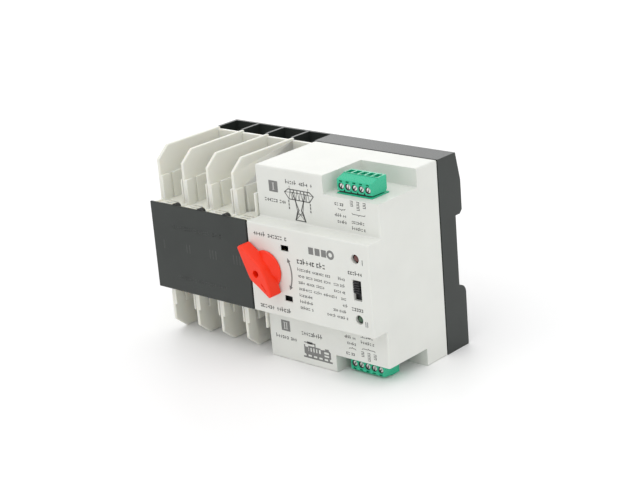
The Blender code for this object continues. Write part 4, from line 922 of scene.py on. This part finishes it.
def handle():
    """The lever grip: a tapered body with soft edges that flares into its round skirt."""
    outline = [
        (-20.3, -1.2),
        (-11.0, -3.7),
        (-1.0, -6.2),
        (1.3, -6.2),
        (7.7, -3.9),
        (17.0, -1.2),
        (17.0, 1.2),
        (7.7, 5.0),
        (1.6, 6.4),
        (-1.0, 6.4),
        (-10.4, 4.4),
        (-20.3, 1.4),
    ]
    flare = [
        (0, -4.4),
        (6.2, -4.3),
        (7.6, -3.7),
        (9.2, -2.7),
        (11.2, -1.95),
        (11.9, -1.6),
        (12.3, -1.1),
        (12.3, -0.45),
        (12.0, -0.3),
        (0, -0.3),
    ]
    bore = [
        (0, -12),
        (2.9, -12),
        (2.75, -10.2),
        (2.3, -9.9),
        (2.15, -9.4),
        (2.15, -6.0),
        (0, -6.0),
    ]
    wedge = ((6.8, -0.4), (12.4, -0.3), (12.4, 0.2), (6.8, 0.3))
    centre = (HANDLE_X, NOSE_MID)
    grip = prism([turned(a, b) for a, b in outline][::-1], (-10.2, -0.7), "y", 0.85, 4)
    skirt = lathe(flare, centre, 72)
    hole = lathe(bore, centre)
    mark = prism([turned(a, b) for a, b in wedge][::-1], (-12, -9.8), "y")
    socket = block((HANDLE_X - 2.3, HANDLE_X + 2.3), (-5.0, 1), (NOSE_MID - 2.3, NOSE_MID + 2.3))
    bm = carve(grip, [skirt], [hole, mark, socket])
    show("turn_handle_grip", bm, "red", body="turn_handle", stands_for=["handle"], sharp=42)


def knob():
    """The ribbed slider in its slot, and the black face behind it."""
    x = (SLOT_X - 2.2, SLOT_X + 2.2)
    high = 7.4
    top = SLOT_MID + SLOT_HALF - 0.3
    low = top - high
    cap = block(x, (0.1, 2.5), (low, top), 0.2, 2)
    ribs = []
    count = 5
    step = high / count
    for number in range(count):
        z = low + step * number
        ribs.append(block(x, (-0.9, 0.6), (z + 0.1, z + step - 0.35), 0.25, 2))
    bm = carve(cap, ribs)
    show("mode_slide_cap", bm, "black", body="mode_knob", stands_for=["slide_knob"])
    face_z = (SLOT_MID - 7.5, SLOT_MID + 7.5)
    face = block((SLOT_X - 4.2, SLOT_X + 4.2), (2.9, 3.4), face_z, 0.1, 1)
    show("slide_switch_face", face, "black")


def lamps():
    """The two domed lamps, sunk in their wells."""
    profile = [
        (0, 1.0),
        (0.9, 1.08),
        (1.6, 1.35),
        (2.15, 1.85),
        (2.45, 2.6),
        (2.5, 3.2),
        (2.5, 5.7),
        (3.0, 5.7),
        (3.0, 7.2),
        (0, 7.2),
    ]
    for letter, side, look in (("a", 1, "red_lens"), ("b", -1, "green_lens")):
        lens = lathe(profile, (LAMP_X, NOSE_MID + side * LAMP_OUT))
        show(f"lamp_{letter}_lens", lens, look, stands_for=[f"lamp_{letter}"])


# ---------------------------------------------------------------- plug-in terminals


def way(number):
    """The x of a way's middle."""
    return PLUG_MID + WAY * (number - (WAYS - 1) // 2)


def plug(letter, side):
    """The pull-off block: a slope, a flat end with wire entries, screw holes and notches between, and
    black pieces that paint shade in the holes and a shadow behind the notched edge.
    """
    body = "plug_upper" if side > 0 else "plug_lower"
    left = PLUG_MID - PLUG_HALF
    right = PLUG_MID + PLUG_HALF
    front = PLUG_FRONT
    back = PLUG_BACK
    rise, bore = (2.7, 7.0) if side > 0 else (1.6, 5.5)
    bore_z = end_in(bore, side)
    outline = [
        (front, 9.9),
        (front, rise),
        (front + 6.0, 0.75),
        (front + 6.3, 0.4),
        (back, 0.4),
        (back, 8.8),
        (back - 1.5, 10.4),
    ]
    placed = [(y, end_in(z, side)) for y, z in outline]
    if side < 0:
        placed = placed[::-1]
    main = prism(placed, (left, right), "x", 0.28, 2)
    tongue_z = flip(side, 9.5, 19.3)
    tongue = block((left + 1.5, right - 1.5), (front + 1.5, back - 1.5), tongue_z, 0.1, 1)
    hole = [
        (0, front - 1),
        (2.45, front - 1),
        (2.3, front + 0.02),
        (2.05, front + 0.3),
        (2.05, front + 7),
        (0, front + 7),
    ]
    # The ring below is black and sits deep in each screw hole round the screw: it paints the shade
    # inside the bore.
    bore_shade_ring = [
        (1.6, front + 0.7),
        (2.03, front + 0.4),
        (2.03, front + 3),
        (1.6, front + 3),
        (1.6, front + 0.7),
    ]
    foot = end_in(11.2, side)
    peak = end_in(bore + 1.4, side)
    slit = flip(side, bore - 3.6, bore - 2.7)
    entry = flip(side, -1, 8.4)
    cut = []
    screws = []
    painted_shade_pieces = []
    for number in range(WAYS):
        x = way(number)
        cut.append(block((x - 1.9, x + 1.9), (front + 6.9, back - 1.6), entry, 0.25, 2))
        cut.append(lathe(hole, (x, bore_z), 28))
        cut.append(block((x - 1.15, x + 1.15), (front - 1, front + 1.5), slit))
        if number:
            seam = x - WAY / 2
            notch = [(seam - 1.6, foot), (seam + 1.6, foot), (seam, peak)]
            cut.append(prism(notch if side > 0 else notch[::-1], (front - 1, front + 1.4), "y"))
        screws.append(plug_screw(x, bore_z, front + 0.9, number, side))
        painted_shade_pieces.append(lathe(bore_shade_ring, (x, bore_z), 24))
    groove = block((left - 1, right + 1), (front + 6.0, front + 6.45), flip(side, -1, 1.3))
    cut.append(groove)
    # A black strip behind the notched edge paints the shadow in the gap between the plug and its header.
    gap_shadow_z = flip(side, 9.6, 10.7)
    painted_shade_pieces.append(block((left + 1.0, right - 1.0), (front + 0.6, front + 1.6), gap_shadow_z))
    bm = carve(main, [tongue], cut)
    show(f"plug_{letter}_block", bm, "green", body=body, stands_for=[f"plug_{letter}"])
    show(f"plug_{letter}_screws", joined(*screws), "steel", body=body)
    # Painted shade and shadow: the black rings in the screw holes and the black strip behind the notched
    # edge.
    show(f"plug_{letter}_painted_bore_shade", joined(*painted_shade_pieces), "black", body=body)
    clamps = []
    clamp_z = flip(side, 2.2, 8.2)
    for number in range(WAYS):
        x = way(number)
        clamps.append(block((x - 1.7, x + 1.7), (front + 7.2, front + 7.9), clamp_z, 0.1, 1))
    show(f"plug_{letter}_clamps", joined(*clamps), "steel", body=body)
    header(letter, side)


def plug_screw(x, z, y, number, side):
    """A slotted screw just inside its bore, turned a little differently from its neighbours."""
    profile = [(0, y), (1.5, y), (1.75, y + 0.25), (1.75, y + 5), (0, y + 5)]
    head = lathe(profile, (x, z), 24)
    turn = math.radians(48 + 9 * ((number * 5 + (2 if side > 0 else 0)) % 4))
    slot = prism(turned_bar(x, z, turn, 2.2, 0.42), (y - 1, y + 1.0), "y")
    return carve(head, cut=[slot])


def header(letter, side):
    """The green socket that the plug sits in, with its row of pins."""
    x = (PLUG_MID - 13.3, PLUG_MID + 13.3)
    tray = block(x, (18.0, 33.7), flip(side, 10.9, 21.5), 0.2, 2)
    hollow = block((x[0] + 1.4, x[1] - 1.4), (19.4, 31.1), flip(side, 9.0, 19.5))
    pins = []
    pin_z = flip(side, 12.2, 21.0)
    for number in range(WAYS):
        middle = way(number)
        pins.append(block((middle - 0.5, middle + 0.5), (24.75, 25.75), pin_z, 0.15, 1))
    bm = carve(tray, cut=[hollow])
    show(f"header_{letter}_tray", bm, "green", stands_for=[f"header_{letter}"])
    show(f"header_{letter}_pins", joined(*pins), "steel")


# ---------------------------------------------------------------- carried-over nodes


def carried_over():
    """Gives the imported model's own inside pieces their materials. The longest name that fits wins."""
    looks = {
        "source_a_terminal": "copper",
        "source_b_terminal": "copper",
        "load_terminal": "copper",
        "moving_contact": "silver",
        "contact_carrier": "black",
        "handle_spindle": "steel",
        "crank_disc": "steel",
        "sector_gear": "brass",
        "indicator_flag": "black",
        "motor_pinion": "brass",
        "motor": "steel",
        "mechanism_plate": "steel",
        "microswitch": "black",
        "front_board": "board",
        "main_board": "board",
        "relay": "black",
        "slide_switch_body": "black",
    }
    for name, node in NODES.items():
        key = max((k for k in looks if name.startswith(k)), key=len, default=None)
        if key and not node.hide_render:
            node.data.materials.clear()
            node.data.materials.append(LOOKS[looks[key]])


# ---------------------------------------------------------------- floor, light and camera


def floor():
    bm = bmesh.new()
    bmesh.ops.create_grid(bm, x_segments=1, y_segments=1, size=6.0)
    mesh = bpy.data.meshes.new("floor")
    bm.to_mesh(mesh)
    bm.free()
    obj = bpy.data.objects.new("floor", mesh)
    bpy.context.scene.collection.objects.link(obj)
    made, _, shader = node_tree("floor_white")
    shader.inputs["Base Color"].default_value = (0.965, 0.965, 0.965, 1)
    shader.inputs["Roughness"].default_value = 0.55
    shader.inputs["Specular IOR Level"].default_value = 0.25
    mesh.materials.append(made)


def lights():
    """A white world and four lights. A sun's size is its angle, and an area's its width in metres."""
    world = bpy.data.worlds.new("studio")
    world.use_nodes = True
    background = world.node_tree.nodes["Background"]
    background.inputs["Color"].default_value = (1.0, 1.0, 1.0, 1)
    background.inputs["Strength"].default_value = 0.75
    bpy.context.scene.world = world
    aim = Vector((0, 0, 0.05))
    for name, kind, place, size, power in (
        ("overhead", "SUN", (0.05, -0.26, 1.2), 1.3, 1.0),
        ("front", "AREA", (-0.55, -1.3, 0.75), 1.0, 0.5),
        ("right", "AREA", (1.4, -0.4, 0.8), 2.0, 2.0),
        ("behind", "AREA", (-1.15, 1.25, 0.75), 0.9, 2.6),
    ):
        data = bpy.data.lights.new(name, kind)
        if kind == "SUN":
            data.angle = size
        else:
            data.shape = "DISK"
            data.size = size
        data.energy = power
        light = bpy.data.objects.new(name, data)
        light.location = place
        light.rotation_euler = (aim - Vector(place)).to_track_quat("-Z", "Y").to_euler()
        bpy.context.scene.collection.objects.link(light)
    bpy.context.scene.view_settings.view_transform = "Standard"


def photo_camera():
    """The camera fitted to the photo's straight edges."""
    data = bpy.data.cameras.new("camera")
    data.lens = 92.41
    data.sensor_width = 36.0
    data.clip_start = 0.05
    camera = bpy.data.objects.new("camera", data)
    right = Vector((0.75023, 0.65653, -0.07828))
    up = Vector((-0.15634, 0.29119, 0.94381))
    back = Vector((0.64243, -0.69583, 0.3211))
    facing = Matrix((right, up, back)).transposed().to_4x4()
    camera.matrix_world = Matrix.Translation((0.66965, -0.70576, 0.39721)) @ facing
    bpy.context.scene.collection.objects.link(camera)
    bpy.context.scene.camera = camera


floor()
lights()
photo_camera()
for number in range(POLES):
    pole(number)
cover()
control_housing()
rear_base()
prints()
handle()
knob()
lamps()
plug("a", 1)
plug("b", -1)
carried_over()
